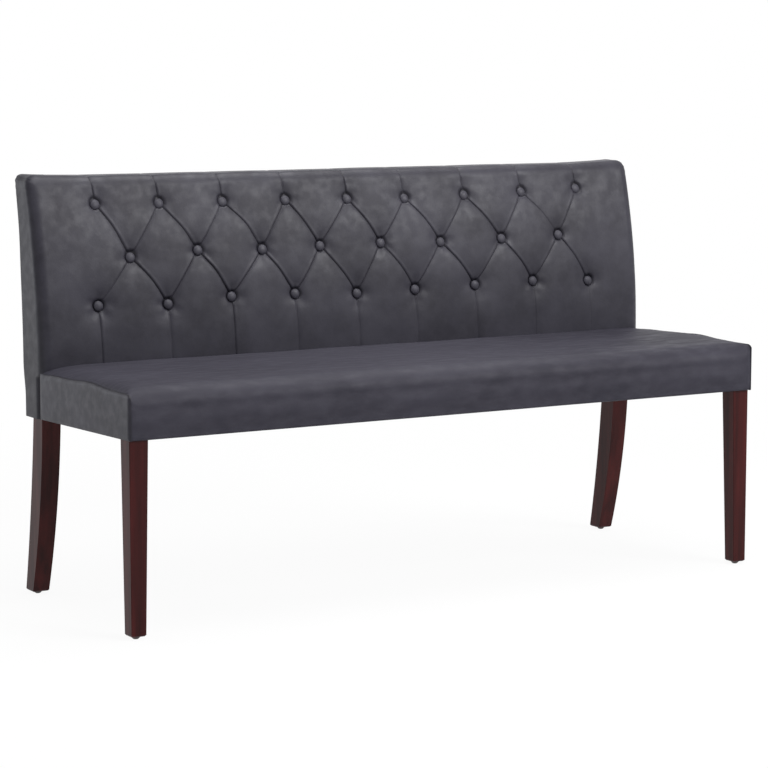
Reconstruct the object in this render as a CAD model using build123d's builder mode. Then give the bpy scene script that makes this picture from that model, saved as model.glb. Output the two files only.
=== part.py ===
"""Upholstered bench with a button-tufted back: a wood frame under foam, padding and leather, on four legs.

X runs along the bench, Y from its front to its back and Z up. The origin lies on the floor, under the
middle of the bench. A piece of the seat is placed from the seat's front plane, and a piece of the back by
its depth behind the padded face or in front of the rear face."""

import os
from math import asin, atan, cos, degrees, pi, radians, sin, sqrt

from build123d import *

os.makedirs("parts", exist_ok=True)

# Whole bench, in millimetres
overall_width = 1514.0
overall_depth = 541.0
back_height = 875.0
seat_height = 493.0
seat_depth = 431.0
seat_show_depth = 416.0
underside_front = 390.0
underside_rear = 381.0

# Clearances, and one overrun for every cut
soft_gap = 0.3
bolt_gap = 0.3
overrun = 20.0

# Number of sides of what is small and round, to keep the repeated pieces light
small_sides = 10
nail_sides = 6
nut_sides = 6
anchor_sides = 8

# Seat covering and foam
cover_thickness = 2.5
side_panel_thickness = 5.2
side_panel_round = 3.6
foam_thickness = 38.0
front_lip_thickness = 5.9
seam_drop = 14.0
shoulder_width = 95.0
waterfall_radius = 38.0
corner_radius = 8.0
crown_fall = 3.0
cover_return = 24.0
dust_thickness = 1.0
shoulder_shares = (0.0, 0.06, 0.25, 0.56, 1.0)
side_panel_shares = ((0.0, 0.0), (0.4, 0.0), (0.8, 0.3), (1.0, 1.0))

# Seat frame
deck_thickness = 12.0
rail_thickness = 22.0
brace_thickness = 22.0
rear_block_leg = 60.0
cross_rail_shares = (-0.5, 0.0, 0.5)

# Front legs
leg_width = 40.3
leg_foot_width = 32.0
leg_corner_flat = 12.0
foot_chamfer = 2.4
leg_edge_chamfer = 1.2

# Rear legs, in one piece with the posts of the back
post_width = 41.8
post_foot_width = 36.5
post_inset = 13.0
post_foot_depth = 36.0
foot_straight = 4.0
leg_front_bow = 13.0
leg_rear_bow = 5.7

# Glides
glide_radius = 9.0
glide_height = 6.0
glide_rim = 2.2
nail_radius = 1.5
nail_length = 16.0

# Shape of the back
back_inset = 2.0
lean_start = 480.0
face_radius = 1305.0
back_thickness = 95.0
rear_lean_start = 495.0
rear_radius = 2600.0
tuck_depth = 10.0
tuck_height = 75.0
edge_radius = 17.0
top_front_radius = 24.0
edge_angles = (0.0, 30.0, 60.0, 90.0)
pad_foot_drop = 17.0

# Layers of the back
pad_thickness = 14.0
back_foam_thickness = 8.0
panel_thickness = 4.0
top_pad_thickness = 12.0
flap_thickness = 3.0
flap_rise = 12.0
rear_cover_thickness = 3.0
wadding_thickness = 10.0
rear_seam_inset = 8.0
rear_seam_drop = 22.0
strip_thickness = 1.5

# Frame of the back
bottom_rail_thickness = 30.0
bottom_rail_height = 72.0
top_rail_height = 32.0
stile_width = 40.0
stile_shares = (-3.25, -1.25, 1.25, 3.25)

# Button tufting
button_pitch = 153.0
button_row_pitch = 102.5
button_middle_height = 715.5
row_button_counts = (9, 8, 9)
row_spread_shares = (1.008, 1.008, 0.99)
button_radius = 11.0
button_rim = 2.2
button_shoulder_radius = 7.6
button_shoulder_height = 5.4
button_crown_radius = 3.2
button_height = 6.9
well_radius = 12.0
well_neck_radius = 13.8
well_mouth_radius = 20.5
well_depth = 10.0
well_neck_depth = 3.6
crease_depth = 3.4
crease_half_width = 7.5
crease_bulge = 0.4
crease_start = 13.5
cutter_rise = 2.8
twine_radius = 0.8
twine_hole_radius = 1.5
anchor_radius = 9.0
anchor_thickness = 3.0

# Bolts
bolt_radius = 4.0
bolt_head_radius = 7.5
bolt_head_height = 5.5
washer_radius = 9.0
washer_thickness = 1.6
leg_bolt_grip = 26.0
leg_bolt_shares = (0.3, 0.72)
back_bolt_shares = (-0.74, -0.24, 0.24, 0.74)
back_bolt_rise = 34.0

# Places worked out from the sizes above
half_width = overall_width / 2
front_y = -overall_depth / 2
seat_rear_y = front_y + seat_depth
box_half = half_width - side_panel_thickness - soft_gap
frame_front_y = front_y + cover_thickness + soft_gap + front_lip_thickness + soft_gap
frame_rear_y = seat_rear_y - cover_thickness - soft_gap
deck_top = seat_height - cover_thickness - soft_gap - foam_thickness
rail_top = deck_top - deck_thickness
leg_inner_x = box_half - leg_width
rail_inner_y = frame_front_y + rail_thickness
leg_rear_y = frame_front_y + leg_width
side_rail_inner_x = box_half - rail_thickness
rear_rail_front_y = frame_rear_y - rail_thickness

back_half = half_width - back_inset
back_front_y = seat_rear_y + soft_gap
face_y = front_y + seat_show_depth
rear_y = face_y + back_thickness
post_outer_x = half_width - post_inset
post_inner_x = post_outer_x - post_width
foot_rear_y = overall_depth / 2
foot_front_y = foot_rear_y - post_foot_depth
foam_depth = pad_thickness + soft_gap
panel_depth = foam_depth + back_foam_thickness + soft_gap
frame_depth = panel_depth + panel_thickness + soft_gap
wadding_depth = rear_cover_thickness + soft_gap
frame_rear_depth = wadding_depth + wadding_thickness + soft_gap
post_rear_y = rear_y - tuck_depth - frame_rear_depth
back_frame_top = back_height - top_pad_thickness - soft_gap
flap_inner_y = back_front_y + flap_thickness
flap_top = seat_height + flap_rise
bottom_rail_y = flap_inner_y + soft_gap
bottom_rail_low = underside_rear + cover_thickness
bottom_rail_top = bottom_rail_low + bottom_rail_height
top_rail_low = back_frame_top - top_rail_height
back_bolt_spots = [(share * box_half, underside_rear + back_bolt_rise) for share in back_bolt_shares]
front_foot_spot = (box_half - leg_foot_width / 2, frame_front_y + leg_foot_width / 2)
rear_foot_spot = (post_outer_x - post_foot_width / 2, (foot_front_y + foot_rear_y) / 2)
SIDES = (("left", -1), ("right", 1))


def underside(y):
    """Height of the seat's sloping underside."""
    return underside_front + (underside_rear - underside_front) * (y - front_y) / seat_depth


def rail_bottom(y):
    """Height of the seat rails' lower edge, above the cover that is turned under them."""
    return underside(y) + cover_thickness


def face_at(depth):
    """Curve that lies a depth behind the padded face of the back: a point for each height."""

    def point(height):
        rise = height - lean_start
        return (face_y + face_radius - sqrt((face_radius - depth) ** 2 - rise**2), height)

    return point


def rear_at(depth):
    """Curve that lies a depth in front of the rear face of the back, above its tucked lower end."""

    def point(height):
        rise = height - rear_lean_start
        return (rear_y + rear_radius - sqrt((rear_radius + depth) ** 2 - rise**2), height)

    return point


def slab_section(front_curve, rear_curve, low, high):
    """Side view of a layer of the back between two curves and two heights."""
    middle = (low + high) / 2
    with BuildSketch() as section:
        with BuildLine():
            ThreePointArc(front_curve(low), front_curve(middle), front_curve(high))
            Line(front_curve(high), rear_curve(high))
            ThreePointArc(rear_curve(high), rear_curve(middle), rear_curve(low))
            Line(rear_curve(low), front_curve(low))
        make_face()
    return section.sketch


def lower_section(front_edge_y, depth, low):
    """Side view of the back's lower end, from a plane in front to a depth before the tucked rear face."""
    swell_radius = (tuck_height**2 + tuck_depth**2) / (4 * tuck_depth)
    swell_angle = degrees(2 * atan(tuck_depth / tuck_height))
    tucked_y = rear_y - tuck_depth - depth
    with BuildSketch() as section:
        with BuildLine():
            Line((tucked_y, low), (tucked_y, rear_lean_start - tuck_height))
            swell = JernArc((tucked_y, rear_lean_start - tuck_height), (0, 1), swell_radius, -swell_angle)
            JernArc(swell @ 1, swell % 1, swell_radius, swell_angle)
            Polyline(
                (rear_y - depth, rear_lean_start),
                (front_edge_y, rear_lean_start),
                (front_edge_y, low),
                (tucked_y, low),
            )
        make_face()
    return section.sketch


def rear_layer(front_depth, rear_depth, low, high):
    """Side view of a layer that follows the back's rear face from its tucked lower end to a height."""
    with BuildSketch() as section:
        add(lower_section(back_front_y, rear_depth, low))
        add(lower_section(back_front_y, front_depth, low), mode=Mode.SUBTRACT)
        add(slab_section(rear_at(front_depth), rear_at(rear_depth), rear_lean_start, high))
    return section.sketch


def wall_slope(low_radius, high_radius, rise):
    """Angle, in degrees from upright, at which the flat walls of a small round piece flare over a rise."""
    return degrees(atan((high_radius - low_radius) * cos(pi / small_sides) / rise))


def rounded_panel(base, edge):
    """Panel as wide as the back, up to an edge whose two corners turn in short straight runs."""
    turn = edge_radius if base > edge else -edge_radius
    corner = []
    for angle in edge_angles:
        x = back_half - edge_radius * (1 - sin(radians(angle)))
        corner.append((x, edge + turn * (1 - cos(radians(angle)))))
    mirrored = [(-x, across) for x, across in reversed(corner)]
    with BuildSketch() as panel:
        with BuildLine():
            Polyline(*mirrored, *corner, (back_half, base), (-back_half, base), close=True)
        make_face()
    return panel.sketch


def seat_section(x, share, inset):
    """Side view of the padded seat at one place along it, drawn in from its surface by an inset."""
    top = seat_height - seam_drop * (1 - share) - inset
    radius = corner_radius + (waterfall_radius - corner_radius) * share - inset
    front = front_y + inset
    rear = seat_rear_y - inset
    with BuildSketch(Plane.YZ.offset(x)) as section:
        with BuildLine():
            Line((front, underside(front) + inset), (front, top - crown_fall - radius))
            RadiusArc((front, top - crown_fall - radius), (front + radius, top - crown_fall), radius)
            ThreePointArc(
                (front + radius, top - crown_fall), ((front + rear) / 2, top), (rear, top - crown_fall)
            )
            Line((rear, top - crown_fall), (rear, underside(rear) + inset))
            Line((rear, underside(rear) + inset), (front, underside(front) + inset))
        make_face()
    return section.sketch


def seat_body(inset):
    """The padded seat as one solid: level along its middle, with shoulders that fall to the side seams."""
    with BuildPart() as body:
        plateau = box_half - shoulder_width
        loft([seat_section(-plateau, 1, inset), seat_section(plateau, 1, inset)], ruled=True)
        for side_name, side in SIDES:
            stations = []
            for share in shoulder_shares:
                x = side * (box_half - shoulder_width * share)
                height_share = sqrt(1 - (1 - share) ** 2)
                stations.append(seat_section(x, height_share, inset))
            loft(stations, ruled=True)
    return body.part


def face_plane(x, height):
    """Plane on the padded face whose normal points out of the back."""
    lean = asin((height - lean_start) / face_radius)
    y, z = face_at(0)(height)
    return Plane(origin=(x, y, z), x_dir=(1, 0, 0), z_dir=(0, -cos(lean), sin(lean)))


def button_places():
    """The three rows of buttons, from the lowest, as lists of places along the bench and heights."""
    rows = []
    for index, count in enumerate(row_button_counts):
        height = button_middle_height + (index - 1) * button_row_pitch
        pitch = button_pitch * row_spread_shares[index]
        rows.append([((place - (count - 1) / 2) * pitch, height) for place in range(count)])
    return rows


def crease_runs(rows):
    """Pleats of the tufting: those between two buttons, then those that run out to an edge."""
    lower, middle, upper = rows
    between = []
    for outer in (lower, upper):
        for index, place in enumerate(middle):
            between.append((place, outer[index]))
            between.append((place, outer[index + 1]))
    outward = [(place, (place[0], seat_height)) for place in lower]
    outward += [(place, (place[0], back_height)) for place in upper]
    return between, outward


def crease_plane(start, end):
    """Plane across a pleat at its start: the pleat runs along its normal, and its y points outside."""
    first = face_plane(*start)
    last = face_plane(*end)
    along = (last.origin - first.origin).normalized()
    outward = (first.z_dir + last.z_dir).normalized()
    return Plane(origin=first.origin, x_dir=outward.cross(along), z_dir=along)


button_rows = button_places()
button_planes = [face_plane(*place) for row in button_rows for place in row]
button_spots = [plane.location for plane in button_planes]

# Seat frame: front rail between the front legs
with BuildPart() as seat_rail_front:
    with BuildSketch(Plane.YZ):
        with BuildLine():
            Polyline(
                (frame_front_y, rail_bottom(frame_front_y)),
                (rail_inner_y, rail_bottom(rail_inner_y)),
                (rail_inner_y, rail_top),
                (frame_front_y, rail_top),
                close=True,
            )
        make_face()
    extrude(amount=leg_inner_x, both=True)
seat_rail_front.part.label = "seat_rail_front"
export_step(seat_rail_front.part, "parts/seat_rail_front.step")

# Rear rail between the side rails, with holes for the bolts that hold the back
with BuildPart() as seat_rail_rear:
    with BuildSketch(Plane.YZ):
        with BuildLine():
            Polyline(
                (rear_rail_front_y, rail_bottom(rear_rail_front_y)),
                (frame_rear_y, rail_bottom(frame_rear_y)),
                (frame_rear_y, rail_top),
                (rear_rail_front_y, rail_top),
                close=True,
            )
        make_face()
    extrude(amount=side_rail_inner_x, both=True)
    with BuildSketch(Plane.XZ.offset(-rear_rail_front_y)):
        with Locations(back_bolt_spots):
            RegularPolygon(bolt_radius + bolt_gap, small_sides)
    extrude(amount=-rail_thickness, mode=Mode.SUBTRACT)
seat_rail_rear.part.label = "seat_rail_rear"
export_step(seat_rail_rear.part, "parts/seat_rail_rear.step")

# Side rails, from the front legs to the rear of the seat
for side_name, side in SIDES:
    with BuildPart() as seat_rail_side:
        with BuildSketch(Plane.YZ.offset(side * side_rail_inner_x)):
            with BuildLine():
                Polyline(
                    (leg_rear_y, rail_bottom(leg_rear_y)),
                    (frame_rear_y, rail_bottom(frame_rear_y)),
                    (frame_rear_y, rail_top),
                    (leg_rear_y, rail_top),
                    close=True,
                )
            make_face()
        extrude(amount=side * rail_thickness)
    seat_rail_side.part.label = f"seat_rail_{side_name}"
    export_step(seat_rail_side.part, f"parts/seat_rail_{side_name}.step")

# Three cross rails under the deck
for rail_name, share in zip(("left", "middle", "right"), cross_rail_shares):
    with BuildPart() as seat_cross_rail:
        with BuildSketch(Plane.YZ.offset(share * box_half)):
            with BuildLine():
                Polyline(
                    (rail_inner_y, rail_bottom(rail_inner_y)),
                    (rear_rail_front_y, rail_bottom(rear_rail_front_y)),
                    (rear_rail_front_y, rail_top),
                    (rail_inner_y, rail_top),
                    close=True,
                )
            make_face()
        extrude(amount=rail_thickness / 2, both=True)
    seat_cross_rail.part.label = f"seat_cross_rail_{rail_name}"
    export_step(seat_cross_rail.part, f"parts/seat_cross_rail_{rail_name}.step")

# Corner braces: each seats on the flat of a front leg's inner corner, between two rails
flat_offset = leg_inner_x + leg_corner_flat - leg_rear_y
brace_low = rail_bottom(rail_inner_y)
brace_height = rail_top - brace_low
brace_diagonal = brace_thickness * sqrt(2)
for side_name, side in SIDES:
    with BuildPart() as corner_brace:
        with BuildSketch(Plane.XY.offset(brace_low)):
            with BuildLine():
                Polyline(
                    (side * (rail_inner_y + flat_offset), rail_inner_y),
                    (side * side_rail_inner_x, side_rail_inner_x - flat_offset),
                    (side * side_rail_inner_x, side_rail_inner_x - flat_offset + brace_diagonal),
                    (side * (rail_inner_y + flat_offset - brace_diagonal), rail_inner_y),
                    close=True,
                )
            make_face()
        extrude(amount=brace_height)
        for share in leg_bolt_shares:
            bolt_plane = Plane(
                origin=(side * (leg_inner_x + leg_corner_flat / 2), leg_rear_y - leg_corner_flat / 2, 0),
                x_dir=(0, 0, 1),
                z_dir=(-side, 1, 0),
            )
            with BuildSketch(bolt_plane):
                with Locations((brace_low + share * brace_height, 0)):
                    RegularPolygon(bolt_radius + bolt_gap, small_sides)
            extrude(amount=brace_thickness, mode=Mode.SUBTRACT)
    corner_brace.part.label = f"corner_brace_{side_name}"
    export_step(corner_brace.part, f"parts/corner_brace_{side_name}.step")

# Corner blocks between the rear rail and the side rails
block_low = rail_bottom(rear_rail_front_y - rear_block_leg)
for side_name, side in SIDES:
    with BuildPart() as corner_block:
        with BuildSketch(Plane.XY.offset(block_low)):
            with BuildLine():
                Polyline(
                    (side * side_rail_inner_x, rear_rail_front_y),
                    (side * (side_rail_inner_x - rear_block_leg), rear_rail_front_y),
                    (side * side_rail_inner_x, rear_rail_front_y - rear_block_leg),
                    close=True,
                )
            make_face()
        extrude(amount=rail_top - block_low)
    corner_block.part.label = f"corner_block_{side_name}"
    export_step(corner_block.part, f"parts/corner_block_{side_name}.step")

# Plywood deck on the rails and the front legs
with BuildPart() as seat_deck:
    with BuildSketch(Plane.XY.offset(rail_top)):
        with Locations((0, (frame_front_y + frame_rear_y) / 2)):
            Rectangle(2 * box_half, frame_rear_y - frame_front_y)
    extrude(amount=deck_thickness)
seat_deck.part.label = "seat_deck"
export_step(seat_deck.part, "parts/seat_deck.step")

# Foam on the deck, with a thin lip in front of the frame
with BuildPart() as seat_foam:
    add(seat_body(cover_thickness + soft_gap))
    with BuildSketch(Plane.YZ):
        with BuildLine():
            Polyline(
                (frame_front_y - soft_gap, underside_rear - overrun),
                (seat_rear_y + overrun, underside_rear - overrun),
                (seat_rear_y + overrun, deck_top),
                (frame_front_y - soft_gap, deck_top),
                close=True,
            )
        make_face()
    extrude(amount=half_width, both=True, mode=Mode.SUBTRACT)
seat_foam.part.label = "seat_foam"
export_step(seat_foam.part, "parts/seat_foam.step")

# Seat cover: front, crowned top and rear in one skin, turned under the front and rear rails
with BuildPart() as seat_cover:
    add(seat_body(0))
    add(seat_body(cover_thickness), mode=Mode.SUBTRACT)
    with BuildSketch(Plane.XY.offset(underside_rear - overrun)):
        with Locations((0, (front_y + seat_rear_y) / 2)):
            Rectangle(2 * half_width, seat_depth - 2 * cover_return)
        for side_name, side in SIDES:
            with Locations((side * half_width, leg_rear_y)):
                Rectangle(
                    2 * (half_width - leg_inner_x + soft_gap),
                    2 * (leg_rear_y - frame_front_y + soft_gap),
                )
    extrude(amount=underside_front - underside_rear + cover_thickness + 2 * overrun, mode=Mode.SUBTRACT)
    with BuildSketch(Plane.XZ.offset(-seat_rear_y)):
        with Locations(back_bolt_spots):
            RegularPolygon(bolt_radius + bolt_gap, small_sides)
    extrude(amount=cover_thickness, mode=Mode.SUBTRACT)
seat_cover.part.label = "seat_cover"
export_step(seat_cover.part, "parts/seat_cover.step")

# Side panels of the seat, sewn to the cover along its ends
for side_name, side in SIDES:
    with BuildPart() as seat_side_panel:
        stations = []
        for thickness_share, round_share in side_panel_shares:
            x = side * (box_half + soft_gap + side_panel_thickness * thickness_share)
            stations.append(seat_section(x, 0, side_panel_round * round_share))
        loft(stations, ruled=True)
    seat_side_panel.part.label = f"seat_side_panel_{side_name}"
    export_step(seat_side_panel.part, f"parts/seat_side_panel_{side_name}.step")

# Thin cloth under the seat, between the turned-in edges of the cover and round the front legs
dust_front_y = front_y + cover_return + soft_gap
dust_rear_y = seat_rear_y - cover_return - soft_gap
with BuildPart() as seat_dust_cover:
    with BuildSketch(Plane.YZ):
        with BuildLine():
            Polyline(
                (dust_front_y, rail_bottom(dust_front_y)),
                (dust_rear_y, rail_bottom(dust_rear_y)),
                (dust_rear_y, rail_bottom(dust_rear_y) - dust_thickness),
                (dust_front_y, rail_bottom(dust_front_y) - dust_thickness),
                close=True,
            )
        make_face()
    extrude(amount=box_half, both=True)
    with BuildSketch(Plane.XY.offset(underside_rear)):
        for side_name, side in SIDES:
            with Locations((side * half_width, frame_front_y)):
                Rectangle(
                    2 * (half_width - leg_inner_x + soft_gap),
                    2 * (leg_width + soft_gap),
                )
    extrude(amount=2 * overrun, mode=Mode.SUBTRACT)
seat_dust_cover.part.label = "seat_dust_cover"
export_step(seat_dust_cover.part, "parts/seat_dust_cover.step")

# Front legs: square in the seat, tapered on their inner faces below it
for side_name, side in SIDES:
    foot_centre = (side * front_foot_spot[0], front_foot_spot[1])
    top_centre = (side * (box_half - leg_width / 2), frame_front_y + leg_width / 2)
    with BuildPart() as front_leg:
        leg_stations = (
            (glide_height, foot_centre, leg_foot_width - 2 * foot_chamfer),
            (glide_height + foot_chamfer, foot_centre, leg_foot_width),
            (underside_front, top_centre, leg_width),
        )
        for height, centre, width in leg_stations:
            with BuildSketch(Plane.XY.offset(height)):
                with Locations(centre):
                    Rectangle(width, width)
                chamfer(vertices(), leg_edge_chamfer)
        loft(ruled=True)
        with BuildSketch(Plane.XY.offset(underside_front)):
            with Locations(top_centre):
                Rectangle(leg_width, leg_width)
        extrude(amount=rail_top - underside_front)
        with BuildSketch(Plane.XY.offset(rail_bottom(leg_rear_y))):
            with BuildLine():
                Polyline(
                    (side * leg_inner_x, leg_rear_y),
                    (side * leg_inner_x, leg_rear_y - leg_corner_flat),
                    (side * (leg_inner_x + leg_corner_flat), leg_rear_y),
                    close=True,
                )
            make_face()
        extrude(amount=rail_top - rail_bottom(leg_rear_y), mode=Mode.SUBTRACT)
        for share in leg_bolt_shares:
            bolt_plane = Plane(
                origin=(side * (leg_inner_x + leg_corner_flat / 2), leg_rear_y - leg_corner_flat / 2, 0),
                x_dir=(0, 0, 1),
                z_dir=(side, -1, 0),
            )
            with BuildSketch(bolt_plane):
                with Locations((brace_low + share * brace_height, 0)):
                    RegularPolygon(bolt_radius + bolt_gap, small_sides)
            extrude(amount=leg_bolt_grip + bolt_gap, mode=Mode.SUBTRACT)
        with BuildSketch(Plane.XY.offset(glide_height)):
            with Locations(foot_centre):
                RegularPolygon(nail_radius, nail_sides)
        extrude(amount=nail_length + bolt_gap, mode=Mode.SUBTRACT)
    front_leg.part.label = f"front_leg_{side_name}"
    export_step(front_leg.part, f"parts/front_leg_{side_name}.step")

# Rear legs: sabre-curved below the seat, then on up to the top of the back as its posts
leg_top_height = bottom_rail_low
post_front_y = face_at(frame_depth)(rear_lean_start)[0]
front_middle_y = (foot_front_y + post_front_y) / 2 - leg_front_bow
rear_middle_y = (foot_rear_y + post_rear_y) / 2 - leg_rear_bow
foot_curve_height = glide_height + foot_straight
leg_middle_height = (foot_curve_height + leg_top_height) / 2
taper = post_width - post_foot_width
for side_name, side in SIDES:
    with BuildPart() as rear_leg:
        with BuildSketch(Plane.YZ.offset(side * post_inner_x)):
            with BuildLine():
                front_foot = (foot_front_y, foot_curve_height)
                rear_foot = (foot_rear_y, foot_curve_height)
                front_line = ThreePointArc(
                    front_foot, (front_middle_y, leg_middle_height), (post_front_y, leg_top_height)
                )
                Line(front_line @ 1, (post_rear_y, leg_top_height))
                ThreePointArc((post_rear_y, leg_top_height), (rear_middle_y, leg_middle_height), rear_foot)
                Polyline(rear_foot, (foot_rear_y, glide_height), (foot_front_y, glide_height), front_foot)
            make_face()
            add(lower_section(post_front_y, frame_rear_depth, leg_top_height))
            frame_front = face_at(frame_depth)
            add(slab_section(frame_front, rear_at(frame_rear_depth), rear_lean_start, back_frame_top))
        extrude(amount=side * post_width)
        with BuildSketch(Plane.XZ.offset(-foot_rear_y - overrun)):
            with BuildLine():
                Polyline(
                    (side * post_inner_x, leg_top_height),
                    (side * (post_inner_x + taper), glide_height),
                    (side * post_inner_x, glide_height),
                    close=True,
                )
            make_face()
        extrude(amount=overall_depth, mode=Mode.SUBTRACT)
        chamfer(rear_leg.faces().sort_by(Axis.Z)[0].edges(), foot_chamfer)
        with BuildSketch(Plane.XY.offset(glide_height)):
            with Locations((side * rear_foot_spot[0], rear_foot_spot[1])):
                RegularPolygon(nail_radius, nail_sides)
        extrude(amount=nail_length + bolt_gap, mode=Mode.SUBTRACT)
    rear_leg.part.label = f"rear_leg_{side_name}"
    export_step(rear_leg.part, f"parts/rear_leg_{side_name}.step")

# Nail-on glides under the four legs
for end_name, spot in (("front", front_foot_spot), ("rear", rear_foot_spot)):
    for side_name, side in SIDES:
        with BuildPart() as glide:
            with BuildSketch(Plane(origin=(side * spot[0], spot[1], 0))):
                RegularPolygon(glide_radius, small_sides)
            extrude(amount=glide_height)
            chamfer(faces().sort_by(Axis.Z)[0].edges(), length=glide_height - glide_rim)
            with BuildSketch(Plane(origin=(side * spot[0], spot[1], glide_height))):
                RegularPolygon(nail_radius, nail_sides)
            extrude(amount=nail_length)
        glide.part.label = f"glide_{end_name}_{side_name}"
        export_step(glide.part, f"parts/glide_{end_name}_{side_name}.step")

# Bottom rail of the back between the posts, bolted to the seat
with BuildPart() as back_bottom_rail:
    with BuildSketch(Plane.XY.offset(bottom_rail_low)):
        with Locations((0, bottom_rail_y + bottom_rail_thickness / 2)):
            Rectangle(2 * post_inner_x, bottom_rail_thickness)
    extrude(amount=bottom_rail_height)
    with BuildSketch(Plane.XZ.offset(-bottom_rail_y)):
        with Locations(back_bolt_spots):
            RegularPolygon(bolt_radius + bolt_gap, small_sides)
    extrude(amount=-bottom_rail_thickness, mode=Mode.SUBTRACT)
back_bottom_rail.part.label = "back_bottom_rail"
export_step(back_bottom_rail.part, "parts/back_bottom_rail.step")

# Top rail of the back, curved with it
with BuildPart() as back_top_rail:
    with BuildSketch(Plane.YZ):
        add(slab_section(face_at(frame_depth), rear_at(frame_rear_depth), top_rail_low, back_frame_top))
    extrude(amount=post_inner_x, both=True)
back_top_rail.part.label = "back_top_rail"
export_step(back_top_rail.part, "parts/back_top_rail.step")

# Four stiles from the bottom rail to the top rail, between the columns of buttons
for index, share in enumerate(stile_shares):
    with BuildPart() as back_stile:
        with BuildSketch(Plane.YZ.offset(share * button_pitch)):
            frame_front = face_at(frame_depth)
            add(slab_section(frame_front, rear_at(frame_rear_depth), rear_lean_start, top_rail_low))
            add(lower_section(post_front_y, frame_rear_depth, bottom_rail_low))
            with Locations((rear_y, bottom_rail_low + bottom_rail_height / 2)):
                Rectangle(2 * back_thickness, bottom_rail_height, mode=Mode.SUBTRACT)
        extrude(amount=stile_width / 2, both=True)
    back_stile.part.label = f"back_stile_{index + 1}"
    export_step(back_stile.part, f"parts/back_stile_{index + 1}.step")

# Plywood panel that the buttons are tied through
with BuildPart() as tuft_panel:
    with BuildSketch(Plane.YZ):
        panel_rear = face_at(frame_depth - soft_gap)
        add(slab_section(face_at(panel_depth), panel_rear, bottom_rail_top, back_frame_top))
    extrude(amount=post_outer_x, both=True)
    for plane in button_planes:
        with BuildSketch(plane.offset(-pad_thickness)):
            Rectangle(2 * twine_hole_radius, 2 * twine_hole_radius)
        extrude(amount=-frame_depth, mode=Mode.SUBTRACT)
tuft_panel.part.label = "tuft_panel"
export_step(tuft_panel.part, "parts/tuft_panel.step")

# Foam sheet in front of the panel, slit for the twines
with BuildPart() as back_foam:
    with BuildSketch(Plane.YZ):
        foam_rear = face_at(panel_depth - soft_gap)
        add(slab_section(face_at(foam_depth), foam_rear, flap_top + soft_gap, back_frame_top))
    extrude(amount=post_outer_x, both=True)
    for plane in button_planes:
        with BuildSketch(plane.offset(-pad_thickness / 2)):
            Rectangle(2 * twine_hole_radius, 2 * twine_hole_radius)
        extrude(amount=-frame_depth, mode=Mode.SUBTRACT)
back_foam.part.label = "back_foam"
export_step(back_foam.part, "parts/back_foam.step")

# Wadding behind the frame
with BuildPart() as back_wadding:
    with BuildSketch(Plane.YZ):
        add(rear_layer(frame_rear_depth - soft_gap, wadding_depth, bottom_rail_low, back_frame_top))
    extrude(amount=post_outer_x, both=True)
back_wadding.part.label = "back_wadding"
export_step(back_wadding.part, "parts/back_wadding.step")

# Outside-back panel, set into the edge of the front cover
rear_panel_half = back_half - rear_seam_inset - soft_gap
with BuildPart() as back_cover_rear:
    with BuildSketch(Plane.YZ):
        add(rear_layer(rear_cover_thickness, 0, underside_rear, back_height - rear_seam_drop - soft_gap))
    extrude(amount=rear_panel_half, both=True)
back_cover_rear.part.label = "back_cover_rear"
export_step(back_cover_rear.part, "parts/back_cover_rear.step")

# Strip that closes the back from below, cut out round the posts
with BuildPart() as back_bottom_strip:
    with BuildSketch(Plane.XY.offset(bottom_rail_low - strip_thickness)):
        with Locations((0, (bottom_rail_y + post_rear_y) / 2)):
            Rectangle(2 * post_outer_x, post_rear_y - bottom_rail_y)
        for side_name, side in SIDES:
            with Locations((side * post_outer_x, post_rear_y)):
                Rectangle(
                    2 * (post_width + soft_gap),
                    2 * (post_rear_y - post_front_y + foot_chamfer),
                    mode=Mode.SUBTRACT,
                )
    extrude(amount=strip_thickness)
back_bottom_strip.part.label = "back_bottom_strip"
export_step(back_bottom_strip.part, "parts/back_bottom_strip.step")

# Cutters for the tufting: a well that widens to its mouth, and pleats between rounded shoulders
neck_rise = well_depth - well_neck_depth
mouth_rise = well_neck_depth + cutter_rise
with BuildPart() as well_cutter:
    with BuildSketch(Plane.XY.offset(-well_depth)):
        RegularPolygon(well_radius, small_sides)
    extrude(amount=neck_rise, taper=-wall_slope(well_radius, well_neck_radius, neck_rise))
    with BuildSketch(Plane.XY.offset(-well_neck_depth)):
        RegularPolygon(well_neck_radius, small_sides)
    extrude(amount=mouth_rise, taper=-wall_slope(well_neck_radius, well_mouth_radius, mouth_rise))

creases = []
for runs, ends_at_wells in zip(crease_runs(button_rows), (2, 1)):
    for start, end in runs:
        reach = face_plane(*end).origin - face_plane(*start).origin
        with BuildPart() as crease_cutter:
            with BuildSketch(crease_plane(start, end).offset(crease_start)):
                with BuildLine():
                    SagittaArc((-crease_half_width, cutter_rise), (0, -crease_depth), crease_bulge)
                    SagittaArc((0, -crease_depth), (crease_half_width, cutter_rise), crease_bulge)
                    Line((crease_half_width, cutter_rise), (-crease_half_width, cutter_rise))
                make_face()
            extrude(amount=reach.length - ends_at_wells * crease_start)
        creases.append(crease_cutter.part)

# Side view of the whole back: its pad ends in a foot on the seat, and its front top corner is rounded
with BuildSketch() as back_outline:
    foot_y = face_at(0)(rear_lean_start)[0]
    add(slab_section(face_at(0), rear_at(0), rear_lean_start, back_height))
    add(lower_section(back_front_y, 0, underside_rear))
    with Locations((foot_y, rear_lean_start)):
        Rectangle(
            back_front_y - foot_y,
            rear_lean_start - seat_height + pad_foot_drop,
            align=(Align.MIN, Align.MAX),
        )
    front_corner = vertices().sort_by(Axis.Y)[-2:].sort_by(Axis.X)[0]
    fillet(front_corner, top_front_radius)

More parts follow.
